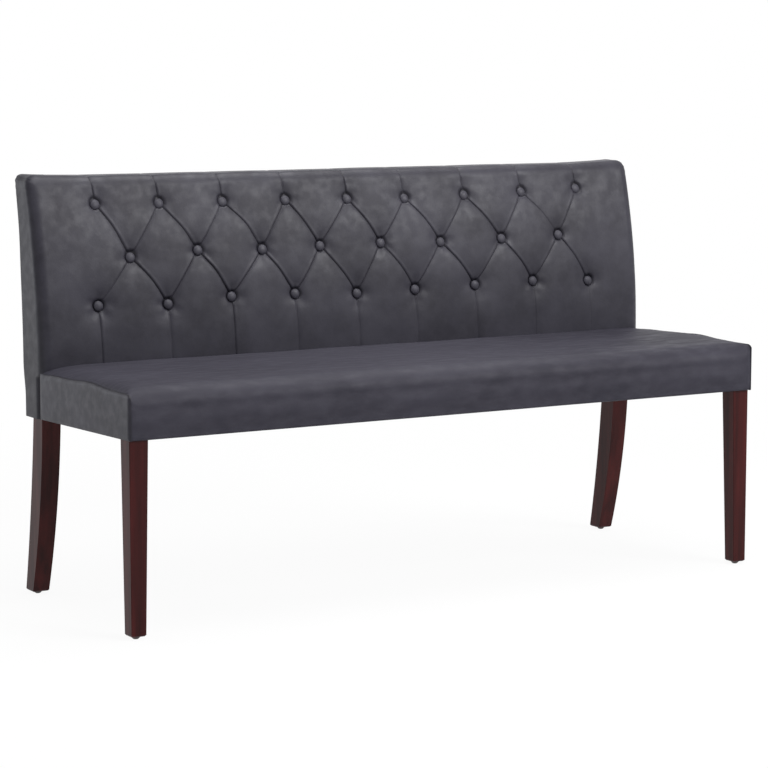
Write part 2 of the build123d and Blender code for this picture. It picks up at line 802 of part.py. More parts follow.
# Tufted cover: one pull-over skin with its padding, over the front, the sides and the top of the back
with BuildPart() as back_cover_front:
    with BuildSketch(Plane.YZ):
        add(back_outline.sketch)
    extrude(amount=back_half, both=True)
    with BuildSketch(Plane.XY.offset(lean_start)):
        add(rounded_panel(face_y + face_radius, face_y))
    revolve(axis=Axis((0, face_y + face_radius, lean_start), (1, 0, 0)), mode=Mode.INTERSECT)
    with BuildSketch(Plane.XZ):
        add(rounded_panel(underside_rear - overrun, back_height))
    extrude(amount=overall_depth, both=True, mode=Mode.INTERSECT)
    with BuildSketch(Plane.YZ):
        cavity_top = back_height - top_pad_thickness
        add(slab_section(face_at(pad_thickness), rear_at(-overrun), flap_top, cavity_top))
        add(lower_section(flap_inner_y, -overrun, underside_rear - overrun))
        add(slab_section(face_at(flap_inner_y - face_y), rear_at(-overrun), rear_lean_start, flap_top))
    extrude(amount=post_outer_x + soft_gap, both=True, mode=Mode.SUBTRACT)
    with BuildSketch(Plane.YZ):
        add(rear_layer(wadding_depth, -overrun, underside_rear - overrun, back_height - rear_seam_drop))
    extrude(amount=back_half - rear_seam_inset, both=True, mode=Mode.SUBTRACT)
    add(seat_body(-soft_gap), mode=Mode.SUBTRACT)
    for side_name, side in SIDES:
        extrude(seat_section(side * box_half, 0, -soft_gap), amount=side * overrun, mode=Mode.SUBTRACT)
    with BuildSketch(Plane.XZ.offset(-back_front_y)):
        with Locations(back_bolt_spots):
            RegularPolygon(bolt_radius + bolt_gap, small_sides)
    extrude(amount=-flap_thickness, mode=Mode.SUBTRACT)
    with Locations(button_spots):
        add(well_cutter.part, mode=Mode.SUBTRACT)
    add(creases, mode=Mode.SUBTRACT)
    for plane in button_planes:
        with BuildSketch(plane.offset(-pad_thickness / 2)):
            Rectangle(2 * twine_hole_radius, 2 * twine_hole_radius)
        extrude(amount=-pad_thickness, mode=Mode.SUBTRACT)
back_cover_front.part.label = "back_cover_front"
export_step(back_cover_front.part, "parts/back_cover_front.step")

# Covered buttons in their wells
button_stations = (
    (button_rim, button_radius),
    (button_shoulder_height, button_shoulder_radius),
    (button_height, button_crown_radius),
)
with BuildPart() as button_cap:
    with BuildSketch(Plane.XY.offset(-well_depth)):
        RegularPolygon(button_radius, small_sides)
    extrude(amount=button_rim)
    for (low, low_radius), (high, high_radius) in zip(button_stations, button_stations[1:]):
        with BuildSketch(Plane.XY.offset(low - well_depth)):
            RegularPolygon(low_radius, small_sides)
        extrude(amount=high - low, taper=-wall_slope(low_radius, high_radius, high - low))
with BuildPart() as tufting_buttons:
    with Locations(button_spots):
        add(button_cap.part)
tufting_buttons.part.label = "tufting_buttons"
export_step(tufting_buttons.part, "parts/tufting_buttons.step")

# Twines from the buttons to their anchors behind the panel
twine_length = frame_depth - well_depth
with BuildPart() as button_twines:
    for plane in button_planes:
        with BuildSketch(plane.offset(-well_depth)):
            Rectangle(2 * twine_radius, 2 * twine_radius)
        extrude(amount=-twine_length)
button_twines.part.label = "button_twines"
export_step(button_twines.part, "parts/button_twines.step")

# Anchor discs that hold the twines
with BuildPart() as twine_anchors:
    for plane in button_planes:
        with BuildSketch(plane.offset(-frame_depth)):
            RegularPolygon(anchor_radius, anchor_sides)
        extrude(amount=-anchor_thickness)
twine_anchors.part.label = "twine_anchors"
export_step(twine_anchors.part, "parts/twine_anchors.step")

# Bolts through the corner braces into the front legs, each with its washer
brace_face_planes = []
for side_name, side in SIDES:
    for share in leg_bolt_shares:
        brace_face_planes.append(
            Plane(
                origin=(
                    side * (leg_inner_x + (leg_corner_flat - brace_diagonal) / 2),
                    leg_rear_y + (brace_diagonal - leg_corner_flat) / 2,
                    brace_low + share * brace_height,
                ),
                x_dir=(0, 0, 1),
                z_dir=(side, -1, 0),
            )
        )
with BuildPart() as leg_bolts:
    for plane in brace_face_planes:
        with BuildSketch(plane.offset(-washer_thickness)):
            RegularPolygon(bolt_radius, small_sides)
        extrude(amount=washer_thickness + brace_thickness + leg_bolt_grip)
        with BuildSketch(plane.offset(-washer_thickness)):
            RegularPolygon(bolt_head_radius, nut_sides)
        extrude(amount=-bolt_head_height)
leg_bolts.part.label = "leg_bolts"
export_step(leg_bolts.part, "parts/leg_bolts.step")

with BuildPart() as leg_bolt_washers:
    for plane in brace_face_planes:
        with BuildSketch(plane):
            RegularPolygon(washer_radius, small_sides)
            RegularPolygon(bolt_radius + bolt_gap, small_sides, mode=Mode.SUBTRACT)
        extrude(amount=-washer_thickness)
leg_bolt_washers.part.label = "leg_bolt_washers"
export_step(leg_bolt_washers.part, "parts/leg_bolt_washers.step")

# Bolts through the seat's rear rail into the back's bottom rail, with their nuts
back_bolt_length = bottom_rail_y + bottom_rail_thickness - rear_rail_front_y
with BuildPart() as back_bolts:
    with BuildSketch(Plane.XZ.offset(-rear_rail_front_y)):
        with Locations(back_bolt_spots):
            RegularPolygon(bolt_radius, small_sides)
    extrude(amount=-back_bolt_length - bolt_head_height)
    with BuildSketch(Plane.XZ.offset(-rear_rail_front_y)):
        with Locations(back_bolt_spots):
            RegularPolygon(bolt_head_radius, nut_sides)
    extrude(amount=bolt_head_height)
back_bolts.part.label = "back_bolts"
export_step(back_bolts.part, "parts/back_bolts.step")

with BuildPart() as back_bolt_nuts:
    with BuildSketch(Plane.XZ.offset(-bottom_rail_y - bottom_rail_thickness)):
        with Locations(back_bolt_spots):
            RegularPolygon(bolt_head_radius, nut_sides)
            RegularPolygon(bolt_radius + bolt_gap, small_sides, mode=Mode.SUBTRACT)
    extrude(amount=-bolt_head_height)
back_bolt_nuts.part.label = "back_bolt_nuts"
export_step(back_bolt_nuts.part, "parts/back_bolt_nuts.step")
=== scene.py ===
# %% [markdown]
# # Dressing an upholstered bench
# The bench comes from CAD as a fixed frame at its real size, and this notebook gives it its looks. Rigid
# pieces keep their CAD shape and get a finish. Soft pieces are made again in the space of their solids:
# a tufted back, a crowned seat and thin cloths. Lengths are in metres, Y runs to the back and Z up.

# %% Load the frame
from math import pi

import bmesh
import bpy
import numpy as np
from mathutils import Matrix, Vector


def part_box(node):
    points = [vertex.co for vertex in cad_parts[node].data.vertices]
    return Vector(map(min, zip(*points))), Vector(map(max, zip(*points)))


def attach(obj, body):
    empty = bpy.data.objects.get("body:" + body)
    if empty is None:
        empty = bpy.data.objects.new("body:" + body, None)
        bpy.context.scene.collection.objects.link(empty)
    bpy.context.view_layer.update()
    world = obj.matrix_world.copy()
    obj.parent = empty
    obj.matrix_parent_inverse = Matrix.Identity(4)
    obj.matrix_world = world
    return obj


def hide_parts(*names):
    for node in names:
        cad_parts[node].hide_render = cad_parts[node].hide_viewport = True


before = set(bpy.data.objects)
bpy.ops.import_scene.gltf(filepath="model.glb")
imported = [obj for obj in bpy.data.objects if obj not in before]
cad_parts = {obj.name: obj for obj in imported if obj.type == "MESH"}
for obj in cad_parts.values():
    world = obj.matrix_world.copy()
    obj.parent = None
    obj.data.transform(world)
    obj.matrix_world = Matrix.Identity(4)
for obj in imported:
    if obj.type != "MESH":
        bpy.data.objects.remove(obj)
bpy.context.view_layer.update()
BODY = "root"

# %% [markdown]
# ## Sizes that several pieces share
# The covers follow the same curves as the CAD solids, so the curves' radii are named once here. Places
# that the frame holds, such as where the seat ends, are read from it, so that a cover stays on its wood.

# %% Sizes read from the frame, and the radii of the back
back_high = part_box("back_cover_front")[1]
seat_low, seat_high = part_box("seat_cover")
BACK_HALF, BACK_TOP = back_high.x, back_high.z
SEAT_END, SEAT_REAR, SEAT_TOP = seat_high
SEAT_FRONT = seat_low.y
FACE_SETBACK = 0.416
FACE_Y = SEAT_FRONT + FACE_SETBACK
FACE_RADIUS, LEAN_START = 1.305, 0.480
REAR_RADIUS, REAR_LEAN_START = 2.600, 0.495
BACK_THICKNESS = 0.098
TUCK_DEPTH, TUCK_HEIGHT = 0.010, 0.075
UNDERSIDE_FRONT, UNDERSIDE_REAR = 0.390, 0.381
print("seat's front, rear and top:", SEAT_FRONT, SEAT_REAR, SEAT_TOP)


# %% Curves of the back, for arrays of heights
def front_curve(height):
    """Y of the padded face: upright up to the seat, then leaning back on a large circle."""
    rise = np.maximum(height - LEAN_START, 0)
    return FACE_Y + FACE_RADIUS - np.sqrt(FACE_RADIUS**2 - rise**2)


def rear_curve(height):
    """Y of the rear face, which is tucked in below the seat's level."""
    rise = np.maximum(height - REAR_LEAN_START, 0)
    lean = REAR_RADIUS - np.sqrt(REAR_RADIUS**2 - rise**2)
    tuck = smooth_step((REAR_LEAN_START - height) / TUCK_HEIGHT) * TUCK_DEPTH
    return FACE_Y + BACK_THICKNESS + lean - tuck


def smooth_step(value):
    """Eases a share from 0 to 1 and holds it at both ends."""
    share = np.clip(value, 0, 1)
    return share * share * (3 - 2 * share)


def blend(first, second, share):
    """A value between two others."""
    return first + (second - first) * share


def underside(y):
    """Height of the seat's sloping lower edge."""
    return blend(UNDERSIDE_FRONT, UNDERSIDE_REAR, (y - SEAT_FRONT) / (SEAT_REAR - SEAT_FRONT))


# %% [markdown]
# ## Uneven surfaces without chance
# Hand-pulled leather is never quite even, and here the mesh itself needs that. This function makes a
# smooth field of bumps: random values on a lattice, eased between its points. A fixed seed gives the same
# field on every run.

# %% A seeded field of soft bumps
LATTICE = 64


def soft_noise(u, v, cell, seed):
    """Smooth values between -1 and 1 over two coordinates in metres, with bumps about one cell wide."""
    lattice = np.random.default_rng(seed).uniform(-1, 1, (LATTICE, LATTICE))
    gu, gv = u / cell, v / cell
    iu, iv = np.floor(gu).astype(int), np.floor(gv).astype(int)
    fu, fv = smooth_step(gu - iu), smooth_step(gv - iv)
    iu, iv, iu_next, iv_next = (index % LATTICE for index in (iu, iv, iu + 1, iv + 1))
    low = lattice[iu, iv] * (1 - fu) + lattice[iu_next, iv] * fu
    high = lattice[iu, iv_next] * (1 - fu) + lattice[iu_next, iv_next] * fu
    return low * (1 - fv) + high * fv


def hill(distance, width, power=2):
    """A share of 1 at distance 0 that falls off over a width, more squarely at a higher power."""
    return np.exp(-((distance / width) ** power))


# %% Meshes from grids of points
def grid_faces(rows, columns):
    """Quads of a grid whose points run along its rows."""
    index = np.arange(rows * columns).reshape(rows, columns)
    corners = (index[:-1, :-1], index[:-1, 1:], index[1:, 1:], index[1:, :-1])
    return np.stack([corner.ravel() for corner in corners], axis=1).tolist()


def add_object(name, data):
    """A new object of the scene."""
    made = bpy.data.objects.new(name, data)
    bpy.context.scene.collection.objects.link(made)
    return made


def make_mesh(name, points, faces, material):
    """A mesh with one material."""
    mesh = bpy.data.meshes.new(name)
    mesh.from_pydata(np.asarray(points).tolist(), [], faces)
    mesh.materials.append(material)
    return mesh


def make_piece(name, points, faces, material):
    """A smooth mesh piece that rides on the bench's body and has a finish."""
    mesh = make_mesh(name, points, faces, material)
    mesh.shade_smooth()
    piece = add_object(name, mesh)
    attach(piece, BODY)
    return piece


def weld(piece, distance=0.0002):
    """Joins points of neighbouring grids, so that light runs over their borders."""
    work = bmesh.new()
    work.from_mesh(piece.data)
    bmesh.ops.remove_doubles(work, verts=work.verts, dist=distance)
    bmesh.ops.recalc_face_normals(work, faces=work.faces)
    work.to_mesh(piece.data)
    work.free()


# %% [markdown]
# ## Materials
# Each finish is a node material. A helper adds a node and sets its sockets, so that a recipe reads as a
# list of what the surface has: cloudy colour, fine grain, and pale high spots of wear and painted light.

# %% Helpers for node materials
def start_material(name):
    """A new material with only a shader and an output."""
    material = bpy.data.materials.new(name)
    material.use_nodes = True
    return material, material.node_tree.nodes["Principled BSDF"]


def plug(owner, socket, value):
    """Sets a socket to a value, or links it to another socket."""
    if isinstance(value, bpy.types.NodeSocket):
        owner.node_tree.links.new(value, socket)
    else:
        socket.default_value = value


def set_sockets(owner, node, **sockets):
    """Sets or links inputs of a node. An underscore in a name stands for a space."""
    for name, value in sockets.items():
        plug(owner, node.inputs[name.replace("_", " ")], value)


def add_node(owner, kind, settings=None, **sockets):
    """Adds a node with its own settings and its input sockets to a material or world."""
    node = owner.node_tree.nodes.new(kind)
    for name, value in (settings or {}).items():
        setattr(node, name, value)
    set_sockets(owner, node, **sockets)
    return node


def combine(owner, operation, first, second):
    """A math node of two values, each a number or a link."""
    node = add_node(owner, "ShaderNodeMath", {"operation": operation})
    plug(owner, node.inputs[0], first)
    plug(owner, node.inputs[1], second)
    return node.outputs[0]


def ranged(owner, value, settings=None, **limits):
    """A value mapped from one range to another, each 0 to 1 where no limit is given."""
    return add_node(owner, "ShaderNodeMapRange", settings, Value=value, **limits).outputs["Result"]


def clouds(material, place, scale, detail, low, high):
    """A noise texture stretched to the range between two of its values."""
    noise = add_node(material, "ShaderNodeTexNoise", Vector=place, Scale=scale, Detail=detail)
    return ranged(material, noise.outputs["Fac"], From_Min=low, From_Max=high)


def mix_colour(material, share, first, second):
    """Blends two colours by a share, each a colour or a link."""
    mix = add_node(material, "ShaderNodeMix", {"data_type": "RGBA"}, Factor=share)
    for socket, value in ((mix.inputs[6], first), (mix.inputs[7], second)):
        plug(material, socket, value if isinstance(value, bpy.types.NodeSocket) else (*value, 1))
    return mix.outputs[2]


def bump(material, height, strength, distance, **below):
    """A bump of a depth in metres, laid over the normal below it where one is given."""
    sockets = {"Height": height, "Strength": strength, "Distance": distance, **below}
    return add_node(material, "ShaderNodeBump", **sockets).outputs["Normal"]


def own_place(material, stretch=None):
    """Coordinates of the piece in metres, and, where a stretch is given, the stretched ones too."""
    place = add_node(material, "ShaderNodeTexCoord").outputs["Object"]
    if stretch is None:
        return place
    return place, add_node(material, "ShaderNodeMapping", Vector=place, Scale=stretch).outputs["Vector"]


# %% [markdown]
# ### Clouded leather
# The cover is a coated leather in a dark blue-grey, with soft clouds of a lighter tone, a fine pebble
# grain and a satin sheen. Each mesh carries two values: one pales it, for real wear and painted light
# on the seat and the button domes, and one is painted shade in pleats, wells, seams and side strips.
# The clouds are three noise textures of falling size, and the grain is small cells used as bump.

# %% Leather for the covers
LEATHER_DARK = (0.0150, 0.0138, 0.0205)
LEATHER_LIGHT = (0.0270, 0.0255, 0.0355)
# The pale tone serves random flecks, real wear and painted light; the darkest tone is painted shade.
LEATHER_WORN_AND_LIT = (0.0520, 0.0500, 0.0640)
LEATHER_PAINTED_SHADE = (0.0030, 0.0028, 0.0036)
DOT_SHARE = 0.18
LEATHER_SPREAD = 0.10


def leather_material(
    name, cloud_scale=9.0, stretch=(1.0, 1.0, 1.0), fleck_share=0.20, roughness=0.50, specular=0.22
):
    """Clouded, slightly distressed leather, with its clouds drawn out by a stretch."""
    material, shader = start_material(name)
    place, drawn = own_place(material, stretch)
    broad = clouds(material, drawn, cloud_scale, 6.0, 0.36, 0.66)
    patchy = clouds(material, drawn, cloud_scale * 5, 8.0, 0.40, 0.68)
    speckle = clouds(material, place, cloud_scale * 40, 3.0, 0.45, 0.75)
    wear_and_light, shade = (
        add_node(material, "ShaderNodeAttribute", {"attribute_name": value}).outputs["Fac"]
        for value in ("wear_and_light", "shade")
    )
    colour = mix_colour(material, broad, LEATHER_DARK, LEATHER_LIGHT)
    colour = mix_colour(material, combine(material, "MULTIPLY", patchy, fleck_share), colour, LEATHER_WORN_AND_LIT)
    colour = mix_colour(material, combine(material, "MULTIPLY", speckle, DOT_SHARE), colour, LEATHER_DARK)
    # Paler by real wear and painted light, then darker by painted shade.
    colour = mix_colour(material, wear_and_light, colour, LEATHER_WORN_AND_LIT)
    colour = mix_colour(material, shade, colour, LEATHER_PAINTED_SHADE)
    rough = ranged(material, patchy, To_Min=roughness, To_Max=roughness - LEATHER_SPREAD)
    pebbles = add_node(material, "ShaderNodeTexVoronoi", Vector=place, Scale=620.0)
    creases = add_node(material, "ShaderNodeTexNoise", Vector=place, Scale=170.0, Detail=4.0)
    grain = bump(material, pebbles.outputs["Distance"], 0.14, 0.0004)
    lines = bump(material, creases.outputs["Fac"], 0.25, 0.0006, Normal=grain)
    set_sockets(material, shader, Base_Color=colour, Roughness=rough, Normal=lines)
    set_sockets(material, shader, Specular_IOR_Level=specular)
    return material


cover_leather = leather_material("cover_leather")
seat_leather = leather_material(
    "seat_leather", stretch=(0.50, 1.4, 1.0), fleck_share=0.40, roughness=0.58, specular=0.10
)
button_leather = leather_material("button_leather", cloud_scale=30.0)

# %% [markdown]
# ### Stained wood
# The legs are a close-grained hardwood under a dark red-brown stain and a satin lacquer. The grain runs
# along each leg, so a noise texture is squeezed across it. The lacquer shows as a low roughness, and the
# unfinished wood of the frame uses the same recipe with pale colours and a high one.

# %% Wood with its grain along one axis
BLOTCH_SHARE = 0.4
WOOD_SPREAD = 0.08
WOOD_SPECULAR = 0.14


def wood_material(name, dark, light, stretch, roughness):
    """Wood whose streaks run along the axis that the stretch leaves small."""
    material, shader = start_material(name)
    place, along = own_place(material, stretch)
    streaks = clouds(material, along, 1.0, 8.0, 0.35, 0.65)
    pores = clouds(material, along, 5.0, 3.0, 0.50, 0.70)
    blotches = clouds(material, place, 7.0, 3.0, 0.35, 0.70)
    colour = mix_colour(material, streaks, dark, light)
    colour = mix_colour(material, combine(material, "MULTIPLY", blotches, BLOTCH_SHARE), colour, dark)
    rough = ranged(material, streaks, To_Min=roughness, To_Max=roughness - WOOD_SPREAD)
    normal = bump(material, pores, 0.12, 0.0003)
    set_sockets(material, shader, Base_Color=colour, Roughness=rough, Normal=normal)
    set_sockets(material, shader, Specular_IOR_Level=WOOD_SPECULAR)
    return material


ALONG_X = (3.0, 60.0, 60.0)
ALONG_Z = (60.0, 60.0, 3.0)
STAIN_DARK = (0.020, 0.0030, 0.0030)
STAIN_LIGHT = (0.052, 0.0070, 0.0068)
PINE_DARK = (0.42, 0.27, 0.14)
PINE_LIGHT = (0.66, 0.48, 0.29)
stained_wood = wood_material("stained_wood", STAIN_DARK, STAIN_LIGHT, ALONG_Z, 0.40)
rail_wood = wood_material("rail_wood", PINE_DARK, PINE_LIGHT, ALONG_X, 0.70)
stile_wood = wood_material("stile_wood", PINE_DARK, PINE_LIGHT, ALONG_Z, 0.70)
plywood = wood_material("plywood", (0.45, 0.30, 0.17), (0.62, 0.46, 0.28), ALONG_X, 0.65)

# %% [markdown]
# ### Cloth, foam, plastic and steel
# One recipe covers the plainer finishes: a colour that wanders a little between two tones, a fine bump at
# the scale of the real fibre, cell or moulding, and a roughness, and for steel a metallic value.

# %% One recipe for the plain finishes
def plain_material(name, dark, light, scale, depth, roughness, metallic=0.0, sheen=0.0):
    """A finish with a slightly uneven colour and a fine bump of a scale and a depth in metres."""
    material, shader = start_material(name)
    place = own_place(material)
    colour = mix_colour(material, clouds(material, place, scale / 8, 4.0, 0.35, 0.65), dark, light)
    fibres = add_node(material, "ShaderNodeTexNoise", Vector=place, Scale=scale, Detail=3.0)
    normal = bump(material, fibres.outputs["Fac"], 0.5, depth)
    set_sockets(material, shader, Base_Color=colour, Normal=normal, Roughness=roughness)
    set_sockets(material, shader, Metallic=metallic, Sheen_Weight=sheen)
    return material


PLAIN_FINISHES = {
    "foam": ((0.72, 0.66, 0.44), (0.84, 0.79, 0.58), 900.0, 0.0006, 0.95),
    "wadding": ((0.80, 0.80, 0.77), (0.90, 0.90, 0.88), 400.0, 0.0015, 1.0, 0.0, 0.3),
    "dust_cloth": ((0.010, 0.010, 0.011), (0.020, 0.020, 0.022), 1500.0, 0.0002, 0.95),
    "twine": ((0.60, 0.53, 0.38), (0.74, 0.68, 0.52), 2500.0, 0.0003, 0.7),
    "anchor_plastic": ((0.52, 0.52, 0.50), (0.60, 0.60, 0.58), 600.0, 0.0001, 0.5),
    "glide_plastic": ((0.030, 0.024, 0.020), (0.050, 0.042, 0.036), 500.0, 0.0001, 0.45),
    "bolt_steel": ((0.50, 0.50, 0.52), (0.62, 0.62, 0.64), 800.0, 0.0001, 0.35, 1.0),
}
plain = {name: plain_material(name, *values) for name, values in PLAIN_FINISHES.items()}

# %% Finish the CAD nodes that stay
FINISHES = (
    (stained_wood, ("front_leg", "rear_leg")),
    (plain["glide_plastic"], ("glide",)),
    (rail_wood, ("seat_rail", "back_bottom_rail", "back_top_rail")),
    (stile_wood, ("seat_cross_rail", "corner", "back_stile")),
    (plywood, ("seat_deck", "tuft_panel")),
    (plain["foam"], ("seat_foam", "back_foam")),
    (plain["wadding"], ("back_wadding",)),
    (plain["dust_cloth"], ("back_bottom_strip", "seat_dust_cover")),
    (plain["twine"], ("button_twines",)),
    (plain["anchor_plastic"], ("twine_anchors",)),
    (plain["bolt_steel"], ("leg_bolt", "back_bolt")),
    (cover_leather, ("seat_cover", "seat_side_panel", "back_cover")),
    (button_leather, ("tufting_buttons",)),
)
for name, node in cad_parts.items():
    finish = next(material for material, starts in FINISHES if name.startswith(starts))
    node.data.materials.clear()
    node.data.materials.append(finish)
print("finished nodes:", len(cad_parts))

# %% [markdown]
# ## The tufted back
# The back is a pull-over cover: one panel over padding, wrapped round the sides and the top. Buttons pull
# it in along a diamond pattern, and the spare leather folds into pleats between them. A pleat is only a
# few millimetres wide, finer than a cloth simulation of a panel this long can hold. So formulas place the
# points, on a mesh whose own lines run along the pleats: between the rows they lie on both diagonals and
# crowd together where the pleats are, so that each fold stays a crisp line.

# %% Three rows of buttons, given one by one
ROW_X = (
    (-0.620, -0.460, -0.310, -0.156, -0.002, 0.147, 0.305, 0.462, 0.615),
    (-0.540, -0.382, -0.228, -0.086, 0.067, 0.222, 0.385, 0.541),
    (-0.608, -0.462, -0.312, -0.160, -0.006, 0.140, 0.297, 0.452, 0.604),
)
ROW_Z = (
    (0.609, 0.605, 0.614, 0.613, 0.606, 0.608, 0.611, 0.613, 0.607),
    (0.706, 0.715, 0.711, 0.713, 0.714, 0.710, 0.712, 0.715),
    (0.818, 0.816, 0.815, 0.814, 0.812, 0.809, 0.812, 0.815, 0.819),
)
BUTTONS = [place for xs, zs in zip(ROW_X, ROW_Z) for place in zip(xs, zs)]
PITCH = 0.154
ROW_STEP = 0.1025
FIRST, LAST = -0.5, 8.5
PLEAT_BOW, BOW_RISE = 0.0036, 0.7
BOW_SHARE, BOW_SPREAD, BOW_CELL = 0.9, 0.7, 0.9


def row_line(row, s):
    """X and Z of a row at places counted in pitches from the first outer button."""
    spots = np.arange(len(ROW_X[row])) + (row == 1) / 2
    x, z = ROW_X[row], ROW_Z[row]
    knots = [FIRST, *spots, LAST]
    xs = [x[0] - (spots[0] - FIRST) * PITCH, *x, x[-1] + (LAST - spots[-1]) * PITCH]
    return np.interp(s, knots, xs), np.interp(s, knots, [z[0], *z, z[-1]])


def face_place(s, t):
    """X and Z of a place counted in pitches along the rows, s, and in rows upwards, t."""
    (x0, z0), (x1, z1), (x2, z2) = (row_line(row, s) for row in range(3))
    low, high = np.clip(t, 0, 1), np.clip(t - 1, 0, 1)
    uneven = BOW_SHARE + BOW_SPREAD * soft_noise(s + 2, t + 2, BOW_CELL, 6)
    bow = PLEAT_BOW * uneven * np.sin(pi * t) ** 2 * np.cos(pi * (s + t / 2)) ** 2
    x = x0 + (x1 - x0) * low + (x2 - x1) * high + bow
    z = z0 + (z1 - z0) * low + (z2 - z1) * high + bow * BOW_RISE
    return x, z


# %% Pleats from button to button, and on to the seat and over the top
FALLING, RISING, BELOW, ABOVE = (0.60, 1.05), (0.55, 0.90), (0.40, 0.65), (0.60, 0.80)
LEFT_STRENGTH, RIGHT_LOSS = 0.95, 0.20
FOOT_ROW, TOP_ROW = -1.7, 2.9
FADING_PLEATS = (((0.5, 1), (0, 0)), ((7, 2), (7.5, 1)))
FOOT_SHARES = (1, 1, 1, 1, 1, 1, 1, 0.6, 0.2)


def pleat_lines():
    """The pleats between places in pitches and rows, each with its strength and the side that laps."""
    chance = np.random.default_rng(21)
    lines = []
    for index in range(8):
        middle = (index + 0.5, 1)
        for outer in (0, 2):
            for place in ((index, outer), (index + 1, outer)):
                falls_right = (place[0] - middle[0]) * (place[1] - middle[1]) < 0
                strength = chance.uniform(*(FALLING if falls_right else RISING))
                strength *= LEFT_STRENGTH - RIGHT_LOSS * index / 8
                start, end = (middle, place) if outer == 0 else (place, middle)
                lines.append((start, end, strength, -1 if falls_right else 1))
    for index in range(9):
        below = chance.uniform(*BELOW) * FOOT_SHARES[index]
        lines.append(((index, 0), (index, FOOT_ROW), below, chance.choice((-1, 1))))
        lines.append(((index, TOP_ROW), (index, 2), chance.uniform(*ABOVE), chance.choice((-1, 1))))
    return lines


PLEATS = pleat_lines()

# %% Wells and pleats: how far the cover is pulled in, and its painted shade
WELL_DEPTH, WELL_REACH, WELL_POWER = 0.0060, 0.0128, 6
CONE_DEPTH, CONE_REACH, CONE_POWER = 0.0082, 0.0275, 1.25
DEEPEST = 0.0125
PLEAT_DEPTH = 0.0026
LAP_REACH, OPEN_REACH = 0.0013, 0.0040
LIP_RISE, LIP_PLACE, LIP_WIDTH, LIP_END = 0.0007, 0.0042, 0.0030, 0.004
MIDDLE_AMOUNT, END_AMOUNT, END_REACH = 0.75, 0.85, 0.028
FADED, FADE_REACH = 0.25, 0.030
PILLOW_DEPTH, PILLOW_REACH = 0.0020, 0.024
RAY_DEPTH, RAY_PLACE, RAY_WIDTH = 0.0006, 0.022, 0.010
# Painted shade: a dark line along each pleat, a ring round each well and a halo to its upper right.
LINE_SHADE, LINE_WIDTH = 0.8, 0.0009
SHADE_TURN = 0.8
RING_SHADE, RING_TILT, RING_REACH = 0.62, 0.24, 0.0142
HALO_SHADE, HALO_REACH = 0.34, 0.0230


def line_distance(x, z, start, end):
    """Signed distance from a line, the distance along it from its start, and its length."""
    (x0, z0), (x1, z1) = start, end
    length = np.hypot(x1 - x0, z1 - z0)
    along = ((x - x0) * (x1 - x0) + (z - z0) * (z1 - z0)) / length
    across = ((x - x0) * (z1 - z0) - (z - z0) * (x1 - x0)) / length
    return across, along, length


def tuft_depth(s, t):
    """Depth of the cover behind its flat face, and a share of painted shade along pleats and round wells.
    """
    x, z = s * PITCH, t * ROW_STEP
    groove_all, lip_all, painted_shade = np.zeros_like(x), np.zeros_like(x), np.zeros_like(x)
    nearest = np.full_like(x, 1.0)
    for start, end, strength, lap in PLEATS:
        metric = [(place[0] * PITCH, place[1] * ROW_STEP) for place in (start, end)]
        across, along, length = line_distance(x, z, *metric)
        beyond = np.maximum(np.maximum(-along, along - length), 0)
        side = across * lap
        away = np.hypot(across, beyond)
        nearest = np.minimum(nearest, away)
        near_end = hill(np.abs(along), END_REACH, 1) + hill(np.abs(length - along), END_REACH, 1)
        if (start, end) in FADING_PLEATS:
            strength = strength * (FADED + (1 - FADED) * hill(np.maximum(along, 0), FADE_REACH, 1))
        amount = strength * (MIDDLE_AMOUNT + END_AMOUNT * near_end)
        reach = np.where(side > 0, LAP_REACH, OPEN_REACH)
        groove_all = np.maximum(groove_all, hill(away, reach, 1) * amount)
        lip_all = np.maximum(lip_all, hill(side - LIP_PLACE, LIP_WIDTH) * hill(beyond, LIP_END, 1) * amount)
        # Painted shade along the pleat's crease.
        painted_shade = np.maximum(painted_shade, hill(away, LINE_WIDTH) * np.minimum(amount, 1) * LINE_SHADE)
    depth = groove_all * PLEAT_DEPTH - lip_all * LIP_RISE + PILLOW_DEPTH * hill(nearest, PILLOW_REACH, 1)
    chance = np.random.default_rng(5)
    for row, places in enumerate(ROW_X):
        for index in range(len(places)):
            spot_x, spot_z = (index + (row == 1) / 2) * PITCH, row * ROW_STEP
            away = np.hypot(x - spot_x, z - spot_z)
            turn = np.arctan2(z - spot_z, x - spot_x)
            rays, phase = chance.integers(3, 6), chance.uniform(0, 2 * pi)
            depth += WELL_DEPTH * hill(away, WELL_REACH, WELL_POWER)
            depth += CONE_DEPTH * hill(away, CONE_REACH, CONE_POWER)
            depth += RAY_DEPTH * np.cos(rays * turn + phase) * hill(away - RAY_PLACE, RAY_WIDTH)
            # Painted shade: a ring round the well, darker on its upper right, and a painted shadow
            # spreading on that side.
            facing = np.cos(turn - SHADE_TURN)
            ring = (RING_SHADE + RING_TILT * facing) * hill(away, RING_REACH, WELL_POWER)
            halo = HALO_SHADE * np.clip(facing, 0, 1) * hill(away, HALO_REACH)
            painted_shade = np.maximum.reduce([painted_shade, ring, halo])
    return np.minimum(depth, DEEPEST), painted_shade


# %% [markdown]
# ### Rounding a box
# The cover is first laid on the faces of a flat box, and each point is then pulled onto a rounded one. The
# front edges get a full, soft radius and the rear edges a small one, because there the cover is turned in
# at a seam. Last, the box is bent: its depth is measured between the front and rear curves of the back.

